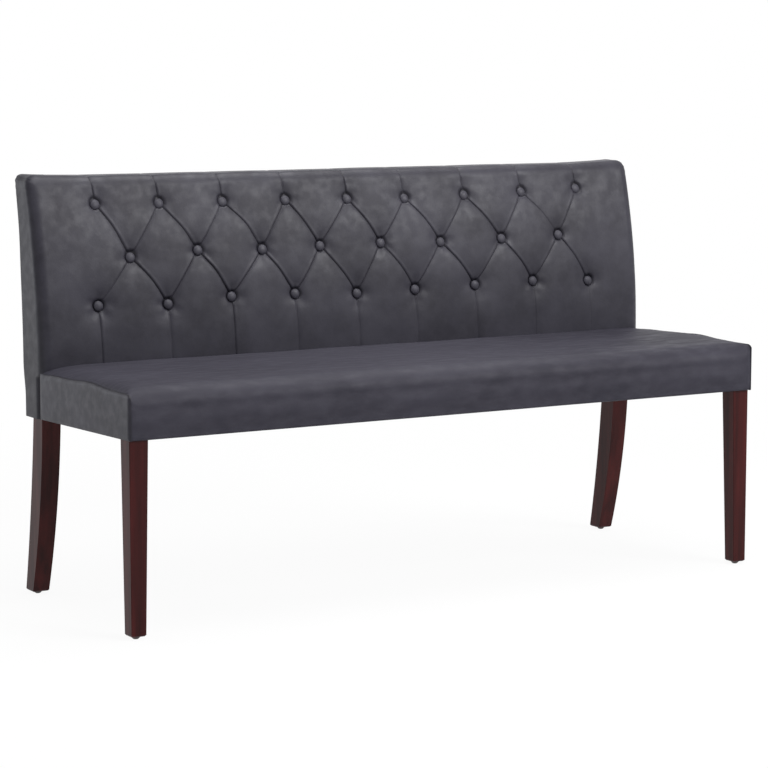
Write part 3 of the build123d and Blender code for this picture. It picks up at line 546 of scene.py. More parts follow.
# %% The rounded box in flat space
SIDE_ROUND, REAR_SIDE_ROUND, REAR_CORNER_ROUND = 0.024, 0.006, 0.018
FRONT_ROUND, REAR_ROUND = 0.022, 0.005
TOP_ROUND, REAR_TOP_ROUND = 0.024, 0.017
REAR_START, REAR_SPAN = 0.35, 0.5
CORNER_BAND, CORNER_SPAN = 0.060, 0.040
FRONT_FOOT, FOOT_STEP = 0.466, 0.006
SEAT_GAP = 0.0005
TURN_IN = 0.045
TOP_LEVEL = BACK_TOP - 0.0005
TOP_HIGH, TOP_HIGH_REACH = 0.0060, 0.070
TOP_WAVE, TOP_WAVE_CELL = 0.0008, 0.16
GATHER_DEPTH, GATHER_STEP, GATHER_REACH, GATHER_OUT = 0.0009, 0.0135, 0.055, 0.6
REAR_HOLLOW, REAR_HOLLOW_HEIGHT, REAR_HOLLOW_WIDTH = 0.0035, 0.765, 0.060


def top_edge(x):
    """Height of the top edge: it stands up at both ends and hangs a little between them."""
    high = TOP_HIGH * hill(BACK_HALF - np.abs(x), TOP_HIGH_REACH, 1)
    return TOP_LEVEL + high + TOP_WAVE * soft_noise(x + 6, x * 0 + 1, TOP_WAVE_CELL, 8)


def round_off(x, depth, height):
    """Moves points of the flat box onto its rounded form."""
    toward_rear = smooth_step((depth / BACK_THICKNESS - REAR_START) / REAR_SPAN)
    top = top_edge(x)
    near_top = smooth_step((height - (top - CORNER_BAND)) / CORNER_SPAN)
    round_x = blend(SIDE_ROUND, blend(REAR_SIDE_ROUND, REAR_CORNER_ROUND, near_top), toward_rear)
    round_z = blend(TOP_ROUND, REAR_TOP_ROUND, toward_rear)
    over_x = np.maximum(np.abs(x) - (BACK_HALF - round_x), 0) / round_x
    over_front = np.maximum(FRONT_ROUND - depth, 0) / FRONT_ROUND
    over_rear = np.maximum(depth - (BACK_THICKNESS - REAR_ROUND), 0) / REAR_ROUND
    over_z = np.maximum(height - (top - round_z), 0) / round_z
    size = np.sqrt(over_x**2 + over_front**2 + over_rear**2 + over_z**2)
    pull = np.where(size > 1, 1 / np.maximum(size, 1e-9), 1.0) - 1
    corner = smooth_step(1 - np.hypot(BACK_HALF - np.abs(x), top - height) / GATHER_REACH)
    gather = GATHER_DEPTH * corner * np.cos(2 * pi * (height - top) / GATHER_STEP)
    outward = over_x * round_x * pull + gather * np.minimum(over_x, 1) * GATHER_OUT
    new_depth = depth - over_front * FRONT_ROUND * pull + over_rear * REAR_ROUND * pull
    return x + np.sign(x) * outward, new_depth, height + over_z * round_z * pull


def bend(x, depth, height):
    """Places flat points between the front and rear curves of the back."""
    foot = smooth_step((FRONT_FOOT + FOOT_STEP - height) / FOOT_STEP)
    front = front_curve(height) + foot * (SEAT_REAR + SEAT_GAP - FACE_Y)
    share = depth / BACK_THICKNESS
    hollow = REAR_HOLLOW * hill(height - REAR_HOLLOW_HEIGHT, REAR_HOLLOW_WIDTH) * share**2
    return np.stack([x, blend(front, rear_curve(height), share) - hollow, height], axis=-1)


# %% Where the points lie: diamonds, bands and margins
CELLS = 48
CROWDING = 0.75
TOP_DRIFT = -0.006
FOOT_DRIFT = 0.004


def crowd(share):
    """Counts in pitches that lie closer together near whole numbers."""
    return share - CROWDING * np.sin(2 * pi * share) / (2 * pi)


def number_faces(inside):
    """Quads between the points inside, and triangles along the slanting borders."""
    number = np.where(inside, np.cumsum(inside.ravel()).reshape(inside.shape) - 1, -1)
    corners = [number[:-1, :-1], number[1:, :-1], number[1:, 1:], number[:-1, 1:]]
    cells = np.stack([corner.ravel() for corner in corners], axis=1)
    held = (cells >= 0).sum(axis=1)
    return [[point for point in cell if point >= 0] for cell in cells[held > 2].tolist()]


def diamond_places():
    """Places s and t between the lower and upper rows, with lines along both directions of pleats."""
    falling = np.arange(int((FIRST - 1) * CELLS), int(LAST * CELLS) + 1)
    rising = np.arange(int(FIRST * CELLS), int((LAST + 1) * CELLS) + 1)
    i, j = np.meshgrid(falling, rising, indexing="ij")
    inside = (j >= i) & (j - i <= 2 * CELLS) & (i + j >= 2 * FIRST * CELLS) & (i + j <= 2 * LAST * CELLS)
    p, q = crowd(i[inside] / CELLS), crowd(j[inside] / CELLS)
    return (p + q) / 2, q - p, number_faces(inside)


def band_places(s, rows, upper):
    """Places of a straight band below the lower row or above the upper one."""
    s, share = np.meshgrid(s, rows)
    x, z = row_line(2 if upper else 0, s)
    if upper:
        height = blend(z, top_edge(x), share)
        return s, 2 + (height - z) / ROW_STEP, x + TOP_DRIFT * share, height
    height = blend(FRONT_FOOT, z, share)
    return s, (height - z) / ROW_STEP, x + FOOT_DRIFT * (1 - share), height


COLUMNS = crowd(np.arange(int(FIRST * CELLS), int(LAST * CELLS) + 1) / CELLS)
LOW_ROWS = np.linspace(0, 1, 58)
HIGH_ROWS = np.linspace(0, 1, 26)
DIAMOND_ROWS = -1 - 2 * crowd(-np.arange(CELLS, 3 * CELLS + 2, 2) / (2 * CELLS))
MARGIN_COLUMNS = np.linspace(0, 1, 38)
FOOT_POINTS, TURN_POINTS = 30, 16
DEPTHS = np.linspace(0, BACK_THICKNESS, 40)


def border_column(side):
    """The column of points where the diamonds end: s, t, x and height from the foot to the top."""
    s = np.array([FIRST if side < 0 else LAST])
    low = [part[:, 0] for part in band_places(s, LOW_ROWS, False)]
    high = [part[:, 0] for part in band_places(s, HIGH_ROWS, True)]
    x, z = face_place(np.full_like(DIAMOND_ROWS, s[0]), DIAMOND_ROWS)
    middle = [np.full_like(x, s[0]), DIAMOND_ROWS, x, z]
    return [np.concatenate([a, b[1:-1], c]) for a, b, c in zip(low, middle, high)]


# %% The cover as one mesh
TOP_BAND, TOP_CALM = 0.034, 0.6
NOTCH_BAND, REAR_NOTCH = 0.030, 0.2
SHARP_NOTCH, SHARP_WIDTH = 0.0020, 0.004
BROAD_NOTCH, BROAD_WIDTH = 0.0012, 0.040
BROAD_LOOSE, BROAD_LOOSE_CELL = 0.0010, 0.090
FINE_LOOSE, FINE_LOOSE_CELL = 0.0003, 0.034
# Painted shade: its gains on the front face and towards the top edge, and the share that reaches the cover.
FRONT_SHADE_GAIN, TOP_SHADE_GAIN, FOLD_SHADE = 1.2, 0.15, 0.8
# Painted shade on the back's side strips, darker towards the foot.
SIDE_BAND, SIDE_EASE = 0.014, 0.012
SIDE_SHADE, FOOT_SHADE = 0.12, 0.20
SHADE_TOP, SHADE_SPAN = 0.80, 0.35


def loose_surface(x, height):
    """Slight unevenness of the pulled leather, in metres."""
    broad = BROAD_LOOSE * soft_noise(x + 3, height + 3, BROAD_LOOSE_CELL, 3)
    return broad + FINE_LOOSE * soft_noise(x + 5, height + 1, FINE_LOOSE_CELL, 4)


def cover_point(s, t, x, depth, height):
    """Final place of a point of the flat box, with the tufting pushed in from the front."""
    s, t, x, depth, height = np.broadcast_arrays(s, t, x, depth, height)
    new_x, new_depth, new_height = round_off(x, depth, height)
    pulled, painted_shade = tuft_depth(s, t)
    facing = np.clip(1 - depth / FRONT_ROUND, 0, 1)
    top = top_edge(x)
    calm = 1 - TOP_CALM * smooth_step((height - (top - TOP_BAND)) / TOP_BAND)
    new_depth = new_depth + facing * calm * (pulled + loose_surface(x, height))
    from_pleat = np.abs(s - np.clip(np.round(s), 0, 8)) * PITCH
    across_top = smooth_step(1 - depth / BACK_THICKNESS)
    notch = SHARP_NOTCH * hill(from_pleat, SHARP_WIDTH, 1) + BROAD_NOTCH * hill(from_pleat, BROAD_WIDTH)
    lift = smooth_step((height - (top - NOTCH_BAND)) / NOTCH_BAND)
    new_height = new_height - lift * notch * blend(REAR_NOTCH, 1, across_top)
    # Painted shade stays on the front and fades out over the rounded edges to the rear.
    painted_shade = painted_shade * np.clip(FRONT_SHADE_GAIN * facing + TOP_SHADE_GAIN * across_top, 0, 1)
    return bend(new_x, new_depth, new_height), painted_shade


def mesh_back_cover():
    """The pull-over cover as one mesh, with its shares of painted shade."""
    points, faces, painted_shades = [], [], []

    def lay(s, t, x, depth, height, part_faces=None):
        start = sum(part.size for part in painted_shades)
        places, painted_shade = cover_point(s, t, x, depth, height)
        part_faces = part_faces or grid_faces(*painted_shade.shape)
        faces.extend([point + start for point in face] for face in part_faces)
        points.append(places.reshape(-1, 3))
        painted_shades.append(painted_shade.ravel())

    s, t, diamond_faces = diamond_places()
    x, z = face_place(s, t)
    lay(s, t, x, 0.0, z, diamond_faces)
    for rows, upper in ((LOW_ROWS, False), (HIGH_ROWS, True)):
        s, t, x, z = band_places(COLUMNS, rows, upper)
        lay(s, t, x, 0.0, z)
    top_line = [np.column_stack([s[-1], x[-1], z[-1]])]
    for side in (-1, 1):
        column = border_column(side)
        share, s = np.meshgrid(MARGIN_COLUMNS, column[0])
        t, x, z = (np.repeat(values[:, None], len(MARGIN_COLUMNS), axis=1) for values in column[1:])
        outward = side * BACK_HALF - x
        s = s + outward * share / PITCH
        x = x + outward * share
        z = np.where(t > 2, z + (top_edge(x) - z[-1:, :]) * ((t - 2) / (t[-1:, :] - 2)), z)
        lay(s, t, x, 0.0, z)
        top_line.append(np.column_stack([s[-1], x[-1], z[-1]])[1:])
        edge = np.concatenate([np.linspace(UNDERSIDE_REAR, FRONT_FOOT, FOOT_POINTS)[:-1], z[:, -1]])
        depth, height = np.meshgrid(DEPTHS, edge)
        lay(s[0, -1], 1.0, side * BACK_HALF, depth, height)
        turned_in = side * np.linspace(BACK_HALF - TURN_IN, BACK_HALF, TURN_POINTS)
        x, z = np.meshgrid(turned_in, edge[:FOOT_POINTS])
        lay(s[0, -1], 1.0, x, 0.0, z)
    line = np.concatenate(top_line)
    line = line[np.argsort(line[:, 1])]
    s, depth = np.meshgrid(line[:, 0], DEPTHS)
    x, z = line[:, 1], line[:, 2]
    lay(s, 2 + (z - row_line(2, s)[1]) / ROW_STEP, x, depth, z)
    return np.concatenate(points), faces, np.concatenate(painted_shades)


def paint(piece, name, values):
    """Stores a share for each point of the mesh, for the material to read."""
    layer = piece.data.attributes.new(name, "FLOAT", "POINT")
    layer.data.foreach_set("value", np.asarray(values, np.float32))


points, faces, painted_shades = mesh_back_cover()
back_cover = make_piece("tufted_back_cover", points, faces, cover_leather)
# Painted shade: pleats and wells, and the side strips, darker towards the foot.
on_side = smooth_step((np.abs(points[:, 0]) - BACK_HALF + SIDE_BAND) / SIDE_EASE)
side_shade = SIDE_SHADE + FOOT_SHADE * smooth_step((SHADE_TOP - points[:, 2]) / SHADE_SPAN)
paint(back_cover, "shade", np.maximum(painted_shades * FOLD_SHADE, on_side * side_shade))
weld(back_cover)
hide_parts("back_cover_front")
print("points of the tufted cover:", len(points))

# %% [markdown]
# ## Covered buttons
# A covered button is a metal cap with the same leather pressed over it: a shallow dome with a rounded rim.
# Each is turned from a profile of listed rings, one mesh for all of them, and sits at the bottom of
# its well, square to the leaning face.

# %% Domes in their wells
BUTTON_RADIUS = 0.0112
BUTTON_DOME = 0.0062
BUTTON_SINK = 0.0102
BUTTON_SHARES = (0.80, 0.95, 1.0, 0.96, 0.86, 0.66, 0.38, 0.0)
BUTTON_RISES = (-0.30, -0.10, 0.18, 0.42, 0.62, 0.82, 0.95, 1.0)
BUTTON_SIDES = 32
# Paler crowns of the domes: a painted highlight, and some real wear.
BUTTON_HIGHLIGHT_AND_WEAR = 0.45


def make_buttons():
    """All button caps as one mesh, with a share for each point that pales the crowns: painted highlight and
    rubbing.
    """
    turns = np.linspace(0, 2 * pi, BUTTON_SIDES + 1)[:-1]
    sideways = np.outer(np.cos(turns), [1, 0, 0])
    ring = np.arange(BUTTON_SIDES)
    points, faces = [], []
    for x, z in BUTTONS:
        lean = np.arcsin((z - LEAN_START) / FACE_RADIUS)
        out = np.array([0, -np.cos(lean), np.sin(lean)])
        across = sideways + np.outer(np.sin(turns), [0, np.sin(lean), np.cos(lean)])
        centre = np.array([x, front_curve(np.array(z)), z]) - out * BUTTON_SINK
        for level, (share, rise) in enumerate(zip(BUTTON_SHARES, BUTTON_RISES)):
            if level:
                a, b = (len(points) - 1) * BUTTON_SIDES + np.array([ring, (ring + 1) % BUTTON_SIDES])
                faces += np.stack([a, b, b + BUTTON_SIDES, a + BUTTON_SIDES], axis=1).tolist()
            points.append(centre + across * share * BUTTON_RADIUS + out * rise * BUTTON_DOME)
    # Painted highlight and wear, rising towards each crown.
    painted_light_and_wear = BUTTON_HIGHLIGHT_AND_WEAR * smooth_step((np.array(BUTTON_RISES) - 0.1) / 0.6)
    return np.concatenate(points), faces, np.tile(np.repeat(painted_light_and_wear, BUTTON_SIDES), len(BUTTONS))


points, faces, painted_light_and_wear = make_buttons()
buttons = make_piece("covered_buttons", points, faces, button_leather)
paint(buttons, "wear_and_light", painted_light_and_wear)
weld(buttons)
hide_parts("tufting_buttons")

# %% [markdown]
# ## The seat
# The seat's top and front are one panel that rolls over the front edge in a deep waterfall. The left end
# falls in a soft shoulder towards the rear, and the right end stays nearly full up to its seam. The grid
# idea serves again: for each place along the seat, a profile runs from the rear, over the crowned top,
# round the front and a little under the frame. A cloth simulation would give less control over the seams.

# %% Heights of the seat's top and of the side seam
LEFT_LEVEL, RIGHT_LEVEL = SEAT_TOP - 0.0128, SEAT_TOP - 0.0015
RIGHT_RISE, RIGHT_SPAN, RIGHT_EASE = 0.0038, 0.300, 0.250
SEAM_HUMP, HUMP_PLACE, HUMP_WIDTH = 0.0055, SEAT_FRONT + 0.190, 0.065
SEAM_FALL, FALL_START, FALL_SPAN = 0.0030, 0.085, 0.060
SHOULDER = 0.130
FAST_FALL, SLOW_FALL, ROLL_FALL = 0.013, 0.034, 0.010
SLOW_START, SLOW_SPAN = 0.150, 0.200
ROLL_DEPTH, ROLL_HEIGHT, RIGHT_ROLL = 0.046, 0.038, 0.001
CORNER_ROUND = 0.012
CROWN, CROWN_RISE = 0.0030, 0.0018
HEM_ROUND, HEM_END = 0.006, 0.034
FRONT_BULGE = 0.0030
REAR_TUCK = 0.003
PANEL_END = SEAT_END + 0.0010


def seam_height(y, side):
    """Height of the seam at the left or right end, with its small hump."""
    level = LEFT_LEVEL if side < 0 else RIGHT_LEVEL
    fall = SEAM_FALL * smooth_step((y - SEAT_REAR + FALL_START) / FALL_SPAN)
    return level + SEAM_HUMP * hill(y - HUMP_PLACE, HUMP_WIDTH) - fall


def crown_height(y, to_right):
    """Height of the seat's top, which rises a little towards the right end."""
    half = (SEAT_REAR - SEAT_FRONT) / 2
    bow = ((y - SEAT_FRONT - half) / half) ** 2
    return SEAT_TOP + CROWN_RISE - CROWN * bow + RIGHT_RISE * to_right * (1 - bow)


def risen_share(from_end, fall):
    """How far a surface has risen from the seam at the end, as a share of its full height."""
    return (1 - np.exp(-from_end / fall)) / (1 - np.exp(-SHOULDER / fall))


def shoulder_share(from_end, y, side):
    """How far the top has risen from the seam: slowly at the rear of the left end, and fast elsewhere."""
    slow = smooth_step((y - SEAT_FRONT - SLOW_START) / SLOW_SPAN) if side < 0 else 0 * y
    return risen_share(from_end, blend(FAST_FALL, SLOW_FALL, slow))


def seat_profile(x):
    """Points (y, z) from the rear of the seat over its top and front to the hem, at one place along it."""
    side = -1 if x < 0 else 1
    from_end = min(PANEL_END - abs(x), SHOULDER)
    to_right = smooth_step((x - PANEL_END + RIGHT_SPAN) / RIGHT_EASE)
    share = risen_share(from_end, ROLL_FALL)
    deep = blend(CORNER_ROUND, ROLL_DEPTH + RIGHT_ROLL * to_right, share)
    high = blend(CORNER_ROUND, ROLL_HEIGHT, share)
    top_y = np.linspace(SEAT_REAR - REAR_TUCK, SEAT_FRONT + deep, 110)
    risen = shoulder_share(from_end, top_y, side)
    top_z = blend(seam_height(top_y, side), crown_height(top_y, to_right), risen)
    turn = np.linspace(0, pi / 2, 36)[1:]
    roll_y = SEAT_FRONT + deep * (1 - np.sin(turn))
    roll_z = top_z[-1] - high * (1 - np.cos(turn))
    low = UNDERSIDE_FRONT + HEM_ROUND
    start = top_z[-1] - high
    front_z = np.linspace(start, low, 34)[1:]
    swell = FRONT_BULGE * np.sin(pi * (front_z - low) / (start - low)) ** 2 * share
    turn = np.linspace(0, pi / 2, 8)[1:]
    hem_y = SEAT_FRONT + HEM_ROUND * (1 - np.cos(turn))
    hem_z = low - HEM_ROUND * np.sin(turn)
    under_y = np.linspace(SEAT_FRONT + HEM_ROUND, SEAT_FRONT + HEM_END, 4)[1:]
    rear_z = np.linspace(underside(SEAT_REAR), top_z[0] - REAR_TUCK, 12)
    ys = [np.full_like(rear_z, SEAT_REAR), top_y, roll_y, SEAT_FRONT - swell, hem_y, under_y]
    zs = [rear_z, top_z, roll_z, front_z, hem_z, np.full_like(under_y, UNDERSIDE_FRONT)]
    return np.stack([np.concatenate(ys), np.concatenate(zs)], axis=1)


# %% The seat cover
SEAM_ROUND, SEAM_DIP, SEAM_WIDTH = 0.0120, 0.0028, 0.0016
# Painted shade along the seam, and its least share on the front face.
SEAM_SHADE, SEAM_LEAST, SETTLE = 0.6, 0.25, 0.010
TOP_EASE, TOP_DEPTH = 0.020, 0.060
BROAD_WAVE, BROAD_CELL, WAVE_SINK = 0.0008, 0.100, 0.0006
STREAK, REAR_STREAK, STREAK_CELL = 0.0002, 0.0006, 0.050
STREAK_START, STREAK_FALL = 0.03, 0.070
STREAK_X, STREAK_Y = 0.30, 2.4
PUCKER, PUCKER_STEP, PUCKER_FALL = 0.0003, 0.021, 0.012
FRONT_WAVE, FRONT_CELL, FRONT_BAND = 0.0009, 0.110, 0.03
# Paleness of the seat: real wear and painted light on the top, more in the middle, less on the front, and
# painted shade taking it back towards the right end.
SEAT_LIGHT_AND_WEAR, FRONT_LIGHT_AND_WEAR = 0.46, 0.30
MIDDLE_LIGHT_AND_WEAR, MIDDLE_WIDTH = 0.14, 0.35
RIGHT_PAINTED_SHADE, RIGHT_SHADE_START, RIGHT_SHADE_SPAN = 0.38, 0.1, 0.6


def mesh_seat_cover():
    """The seat cover as a grid, with each point's share of painted shade along the seam, and of facing up.
    """
    left = -PANEL_END + SHOULDER * np.linspace(0, 1, 56) ** 2.2
    middle = np.linspace(-PANEL_END + SHOULDER, PANEL_END - SHOULDER, 330)[1:-1]
    rows = []
    for x in np.concatenate([left, middle, -left[::-1]]):
        profile = seat_profile(x)
        rows.append(np.column_stack([np.full(len(profile), x), profile]))
    grid = np.stack(rows)
    x, y, z = grid[..., 0], grid[..., 1].copy(), grid[..., 2].copy()
    from_end = PANEL_END - np.abs(x)
    inward = 1 - np.clip(from_end / SEAM_ROUND, 0, 1)
    dip = SEAM_DIP * (1 - np.sqrt(1 - inward**2))
    high = smooth_step((z - SEAT_TOP + TOP_DEPTH) / TOP_EASE)
    facing_up = smooth_step((y - SEAT_FRONT) / TOP_EASE) * high
    near_back = np.exp(-np.maximum(SEAT_REAR - STREAK_START - y, 0) / STREAK_FALL)
    streak = soft_noise(x * STREAK_X + 2, y * STREAK_Y + 2, STREAK_CELL, 11)
    wave = BROAD_WAVE * soft_noise(x + 4, y + 4, BROAD_CELL, 12) - WAVE_SINK
    wave = wave + (STREAK + REAR_STREAK * near_back) * streak
    pucker = PUCKER * np.cos(2 * pi * y / PUCKER_STEP) * np.exp(-from_end / PUCKER_FALL)
    settled = smooth_step(from_end / SETTLE)
    grid[..., 2] = z + facing_up * (settled * (wave + pucker) - dip)
    bulge = FRONT_WAVE * soft_noise(x + 7, z + 7, FRONT_CELL, 13) * settled
    grid[..., 1] = y + (1 - facing_up) * (y < SEAT_FRONT + FRONT_BAND) * (bulge + dip)
    return grid, hill(from_end, SEAM_WIDTH) * blend(SEAM_LEAST, 1, facing_up), facing_up


grid, seam, facing_up = mesh_seat_cover()
faces = grid_faces(*grid.shape[:2])
seat_cover = make_piece("seat_cover_panel", grid.reshape(-1, 3), faces, seat_leather)
# Painted shade along the seam groove, weaker on the front face.
paint(seat_cover, "shade", seam.ravel() * SEAM_SHADE)
# Paler by wear and painted light, most in the middle of the top, and darker towards the right end as
# painted shade.
across = grid[..., 0]
to_right = smooth_step((across - RIGHT_SHADE_START) / RIGHT_SHADE_SPAN)
painted_light_and_wear = SEAT_LIGHT_AND_WEAR + MIDDLE_LIGHT_AND_WEAR * hill(across, MIDDLE_WIDTH) - RIGHT_PAINTED_SHADE * to_right
paint(seat_cover, "wear_and_light", (FRONT_LIGHT_AND_WEAR + facing_up * (painted_light_and_wear - FRONT_LIGHT_AND_WEAR)).ravel())
weld(seat_cover)
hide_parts("seat_cover")
print("points of the seat cover:", len(seat_cover.data.vertices))

# %% [markdown]
# ## Side panels of the seat
# Each end of the seat is closed by its own panel, sewn to the cover along the top and down the front
# corner. A grid over its outline is pushed out by a formula, full in the middle and down to the seam at
# the edges.

# %% Two bulging side panels
PANEL_BULGE, PANEL_FULL, PANEL_SINK = 0.0058, 0.84, 0.0008
PANEL_ROLL, REAR_PANEL_ROLL, ROLL_SPAN = 0.0090, 0.0200, 0.045
PANEL_WAVE, PANEL_CELL = 0.0007, 0.070
# Painted shade along the top seam and, fainter, along the front seam.
SEWN_WIDTH, TOP_SEAM_SHADE, FRONT_SEAM_SHADE = 0.0013, 0.6, 0.2


def side_panel_top(y, side):
    """Height of the side panel's upper edge: the seam, turned down round the front corner."""
    front = SEAT_FRONT + CORNER_ROUND
    corner = np.sqrt(np.maximum(CORNER_ROUND**2 - np.maximum(front - y, 0) ** 2, 0))
    return np.where(y < front, seam_height(front, side) - CORNER_ROUND + corner, seam_height(y, side))


def eased_line(count):
    """Shares from 0 to 1 that lie closer together at both ends."""
    return (1 - np.cos(np.linspace(0, pi, count))) / 2


def make_side_panel(name, side):
    """One side panel as a grid over its outline."""
    length = SEAT_REAR - SEAT_FRONT
    y, up = np.meshgrid(SEAT_FRONT + length * eased_line(110), eased_line(46))
    low, high = underside(y), side_panel_top(y, side)
    z = blend(low, high, up)
    from_edge = np.minimum.reduce([y - SEAT_FRONT, SEAT_REAR - y, high - z, z - low])
    wide = blend(PANEL_ROLL, REAR_PANEL_ROLL, np.exp(-(SEAT_REAR - y) / ROLL_SPAN))
    rise = np.sqrt(1 - (1 - np.clip(from_edge / wide, 0, 1)) ** 2)
    along = np.clip((y - SEAT_FRONT) / length, 0, 1)
    full = PANEL_FULL + (1 - PANEL_FULL) * np.sin(pi * along) * np.sin(pi * up)
    loose = PANEL_WAVE * soft_noise(y + 2, z + 2, PANEL_CELL, 31 + side)
    out = (PANEL_BULGE * full + loose) * rise - PANEL_SINK * (1 - rise)
    points = np.stack([side * (SEAT_END + out), y, z], axis=-1).reshape(-1, 3)
    piece = make_piece(name, points, grid_faces(*y.shape), cover_leather)
    # Painted shade along the top seam, and fainter along the front corner's seam.
    seam_painted_shade = hill(high - z, SEWN_WIDTH) * TOP_SEAM_SHADE
    paint(piece, "shade", np.maximum(seam_painted_shade, hill(y - SEAT_FRONT, SEWN_WIDTH) * FRONT_SEAM_SHADE).ravel())
    weld(piece)
    return piece


for side_name, side in (("left", -1), ("right", 1)):
    panel = make_side_panel(f"seat_side_{side_name}", side)
    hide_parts(f"seat_side_panel_{side_name}")

# %% [markdown]
# ## The outside back
# Behind, a plain panel is sewn to the pull-over cover along both sides and the top. It is a grid laid on
# the rear of the same rounded box, so that it meets the cover's edge all round. A shallow groove a
# centimetre inside that edge is its seam, and its rim is tucked under the cover.

# %% The outside-back panel
SEAM_INSET, REAR_SEAM_DEPTH, REAR_SEAM_WIDTH = 0.0100, 0.0020, 0.0030
REAR_SEAM_SHADE = 0.5
REAR_WAVE, REAR_CELL, REAR_CALM = 0.0007, 0.120, 0.05
TUCK_WIDTH, TUCK_OUT, TUCK_DEEP, TUCK_UP = 0.004, 0.0010, 0.0016, 0.0012


def make_outside_back():
    """The rear panel as a grid on the rear of the rounded box, so that it meets the cover's edge."""
    x, share = np.meshgrid(np.linspace(-BACK_HALF, BACK_HALF, 220), np.linspace(0, 1, 130))
    top = top_edge(x)
    z = blend(UNDERSIDE_REAR, top, share)
    s = np.interp(x, ROW_X[2], np.arange(9.0))
    points, _ = cover_point(s, 1.0, x, BACK_THICKNESS, z)
    from_side, from_top = BACK_HALF - np.abs(x), top - z
    from_edge = np.minimum(from_side, from_top)
    groove = hill(from_edge - SEAM_INSET, REAR_SEAM_WIDTH)
    ripple = REAR_WAVE * soft_noise(x + 9, z + 9, REAR_CELL, 41) * smooth_step(from_edge / REAR_CALM)
    tuck_x, tuck_z = (np.clip(1 - away / TUCK_WIDTH, 0, 1) for away in (from_side, from_top))
    points[..., 0] += np.sign(x) * TUCK_OUT * tuck_x
    points[..., 1] += ripple - REAR_SEAM_DEPTH * groove - TUCK_DEEP * np.maximum(tuck_x, tuck_z)
    points[..., 2] += TUCK_UP * tuck_z
    faces = grid_faces(*x.shape)
    piece = make_piece("outside_back_panel", points.reshape(-1, 3), faces, cover_leather)
    # Painted shade in the seam groove.
    paint(piece, "shade", groove.ravel() * REAR_SEAM_SHADE)
    return piece


outside_back = make_outside_back()
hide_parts("back_cover_rear")
print("outside back points:", len(outside_back.data.vertices))

# %% [markdown]
# ## Thin cloths below
# A black dust cloth is stapled under the seat frame and cut out round the front legs. A narrow strip
# closes the back from below and is cut out round the rear posts. Both are thin sheets pulled flat, so
# each is a grid that hangs a little low between the wood that holds it.

# %% The two cloths as sagging grids
dust_low, dust_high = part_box("seat_dust_cover")
strip_low, strip_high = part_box("back_bottom_strip")
leg_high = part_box("front_leg_left")[1]
post_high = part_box("rear_leg_left")[1]
DUST_SAG, STRIP_SAG = 0.0025, 0.0008
DUST_LIFT, STRIP_LIFT = 0.0016, 0.0009
CLOTH_WAVE, CLOTH_CELL, CLOTH_STEP = 0.0004, 0.080, 0.011
LEG_GAP, POST_GAP = 0.002, 0.001
REAR_INSET = 0.0015


def make_cloth(name, x, y, notch_x, notch_y, heights, sag):
    """A cloth that hangs a little low and is cut out at both front corners, and its area."""
    gx, gy = np.meshgrid(x, y)
    across = np.clip((gx - x[0]) / (x[-1] - x[0]), 0, 1)
    along = np.sin(pi * np.clip((gy - y[0]) / (y[-1] - y[0]), 0, 1))
    low = heights - sag * np.sin(pi * across) ** 0.5 * along
    low = low - CLOTH_WAVE * soft_noise(gx + 8, gy + 8, CLOTH_CELL, 51) * along
    middle_x, middle_y = np.meshgrid((x[:-1] + x[1:]) / 2, (y[:-1] + y[1:]) / 2)
    kept = ~((np.abs(middle_x) > notch_x) & (middle_y < notch_y)).ravel()
    faces = np.array(grid_faces(*gx.shape))[kept]
    used, numbers = np.unique(faces, return_inverse=True)
    points = np.stack([gx, gy, low], axis=-1).reshape(-1, 3)[used]
    faces = numbers.reshape(-1, 4).tolist()
    area = float(np.outer(np.diff(y), np.diff(x)).ravel()[kept].sum())
    return make_piece(name, points, faces, plain["dust_cloth"]), area


def stops(*places):
    """Grid lines that hit each given place, about a centimetre apart."""
    parts = [np.linspace(a, b, max(2, int((b - a) / CLOTH_STEP))) for a, b in zip(places, places[1:])]
    return np.unique(np.round(np.concatenate(parts), 7))


notch_x, notch_y = leg_high.x + LEG_GAP, leg_high.y + LEG_GAP
dust_rear = SEAT_REAR - REAR_INSET
x, y = stops(dust_low.x, notch_x, -notch_x, dust_high.x), stops(dust_low.y, notch_y, dust_rear)
heights = underside(y)[:, None] + DUST_LIFT
dust_sheet, area = make_cloth("dust_cloth_sheet", x, y, -notch_x, notch_y, heights, DUST_SAG)
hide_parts("seat_dust_cover")

post_x = post_high.x + POST_GAP
strip_rear = float(rear_curve(np.array(UNDERSIDE_REAR))) - REAR_INSET
x = stops(strip_low.x, post_x, -post_x, strip_high.x)
y = stops(strip_low.y, strip_high.y, strip_rear)
height = strip_low.z + STRIP_LIFT
strip_sheet, area = make_cloth("bottom_strip_sheet", x, y, -post_x, strip_high.y, height, STRIP_SAG)
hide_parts("back_bottom_strip")

# %% [markdown]
# ## Camera, floor and light
# The camera was solved from the photograph, so its place and lens are fixed numbers. The floor is a large
# pale sheet that fades to plain white, for the camera, away from the bench. Three large lamps and a sky
# that is dimmer in front light the bench. Mirrored and seen directly, floor and sky are white, so that
# glosses show the picture's background.

# %% The camera
CAMERA_PLACE = (-2.8484, -4.7243, 1.1259)
CAMERA_YAW = 0.5382
CAMERA_PITCH = 0.1267
CAMERA_LENS = 121.59
camera_data = bpy.data.cameras.new("camera")
camera_data.lens = CAMERA_LENS
camera_data.sensor_width = 36.0
camera_data.clip_end = 100.0
camera = add_object("camera", camera_data)
camera.location = CAMERA_PLACE
camera.rotation_euler = (pi / 2 - CAMERA_PITCH, 0, -CAMERA_YAW)
bpy.context.scene.camera = camera

# %% The floor
FLOOR_HALF = 14.0
FLOOR_LIFT = 0.93
FLOOR_GREY = (0.80, 0.80, 0.80, 1)
FADE_START, FADE_END = 1.0, 2.6


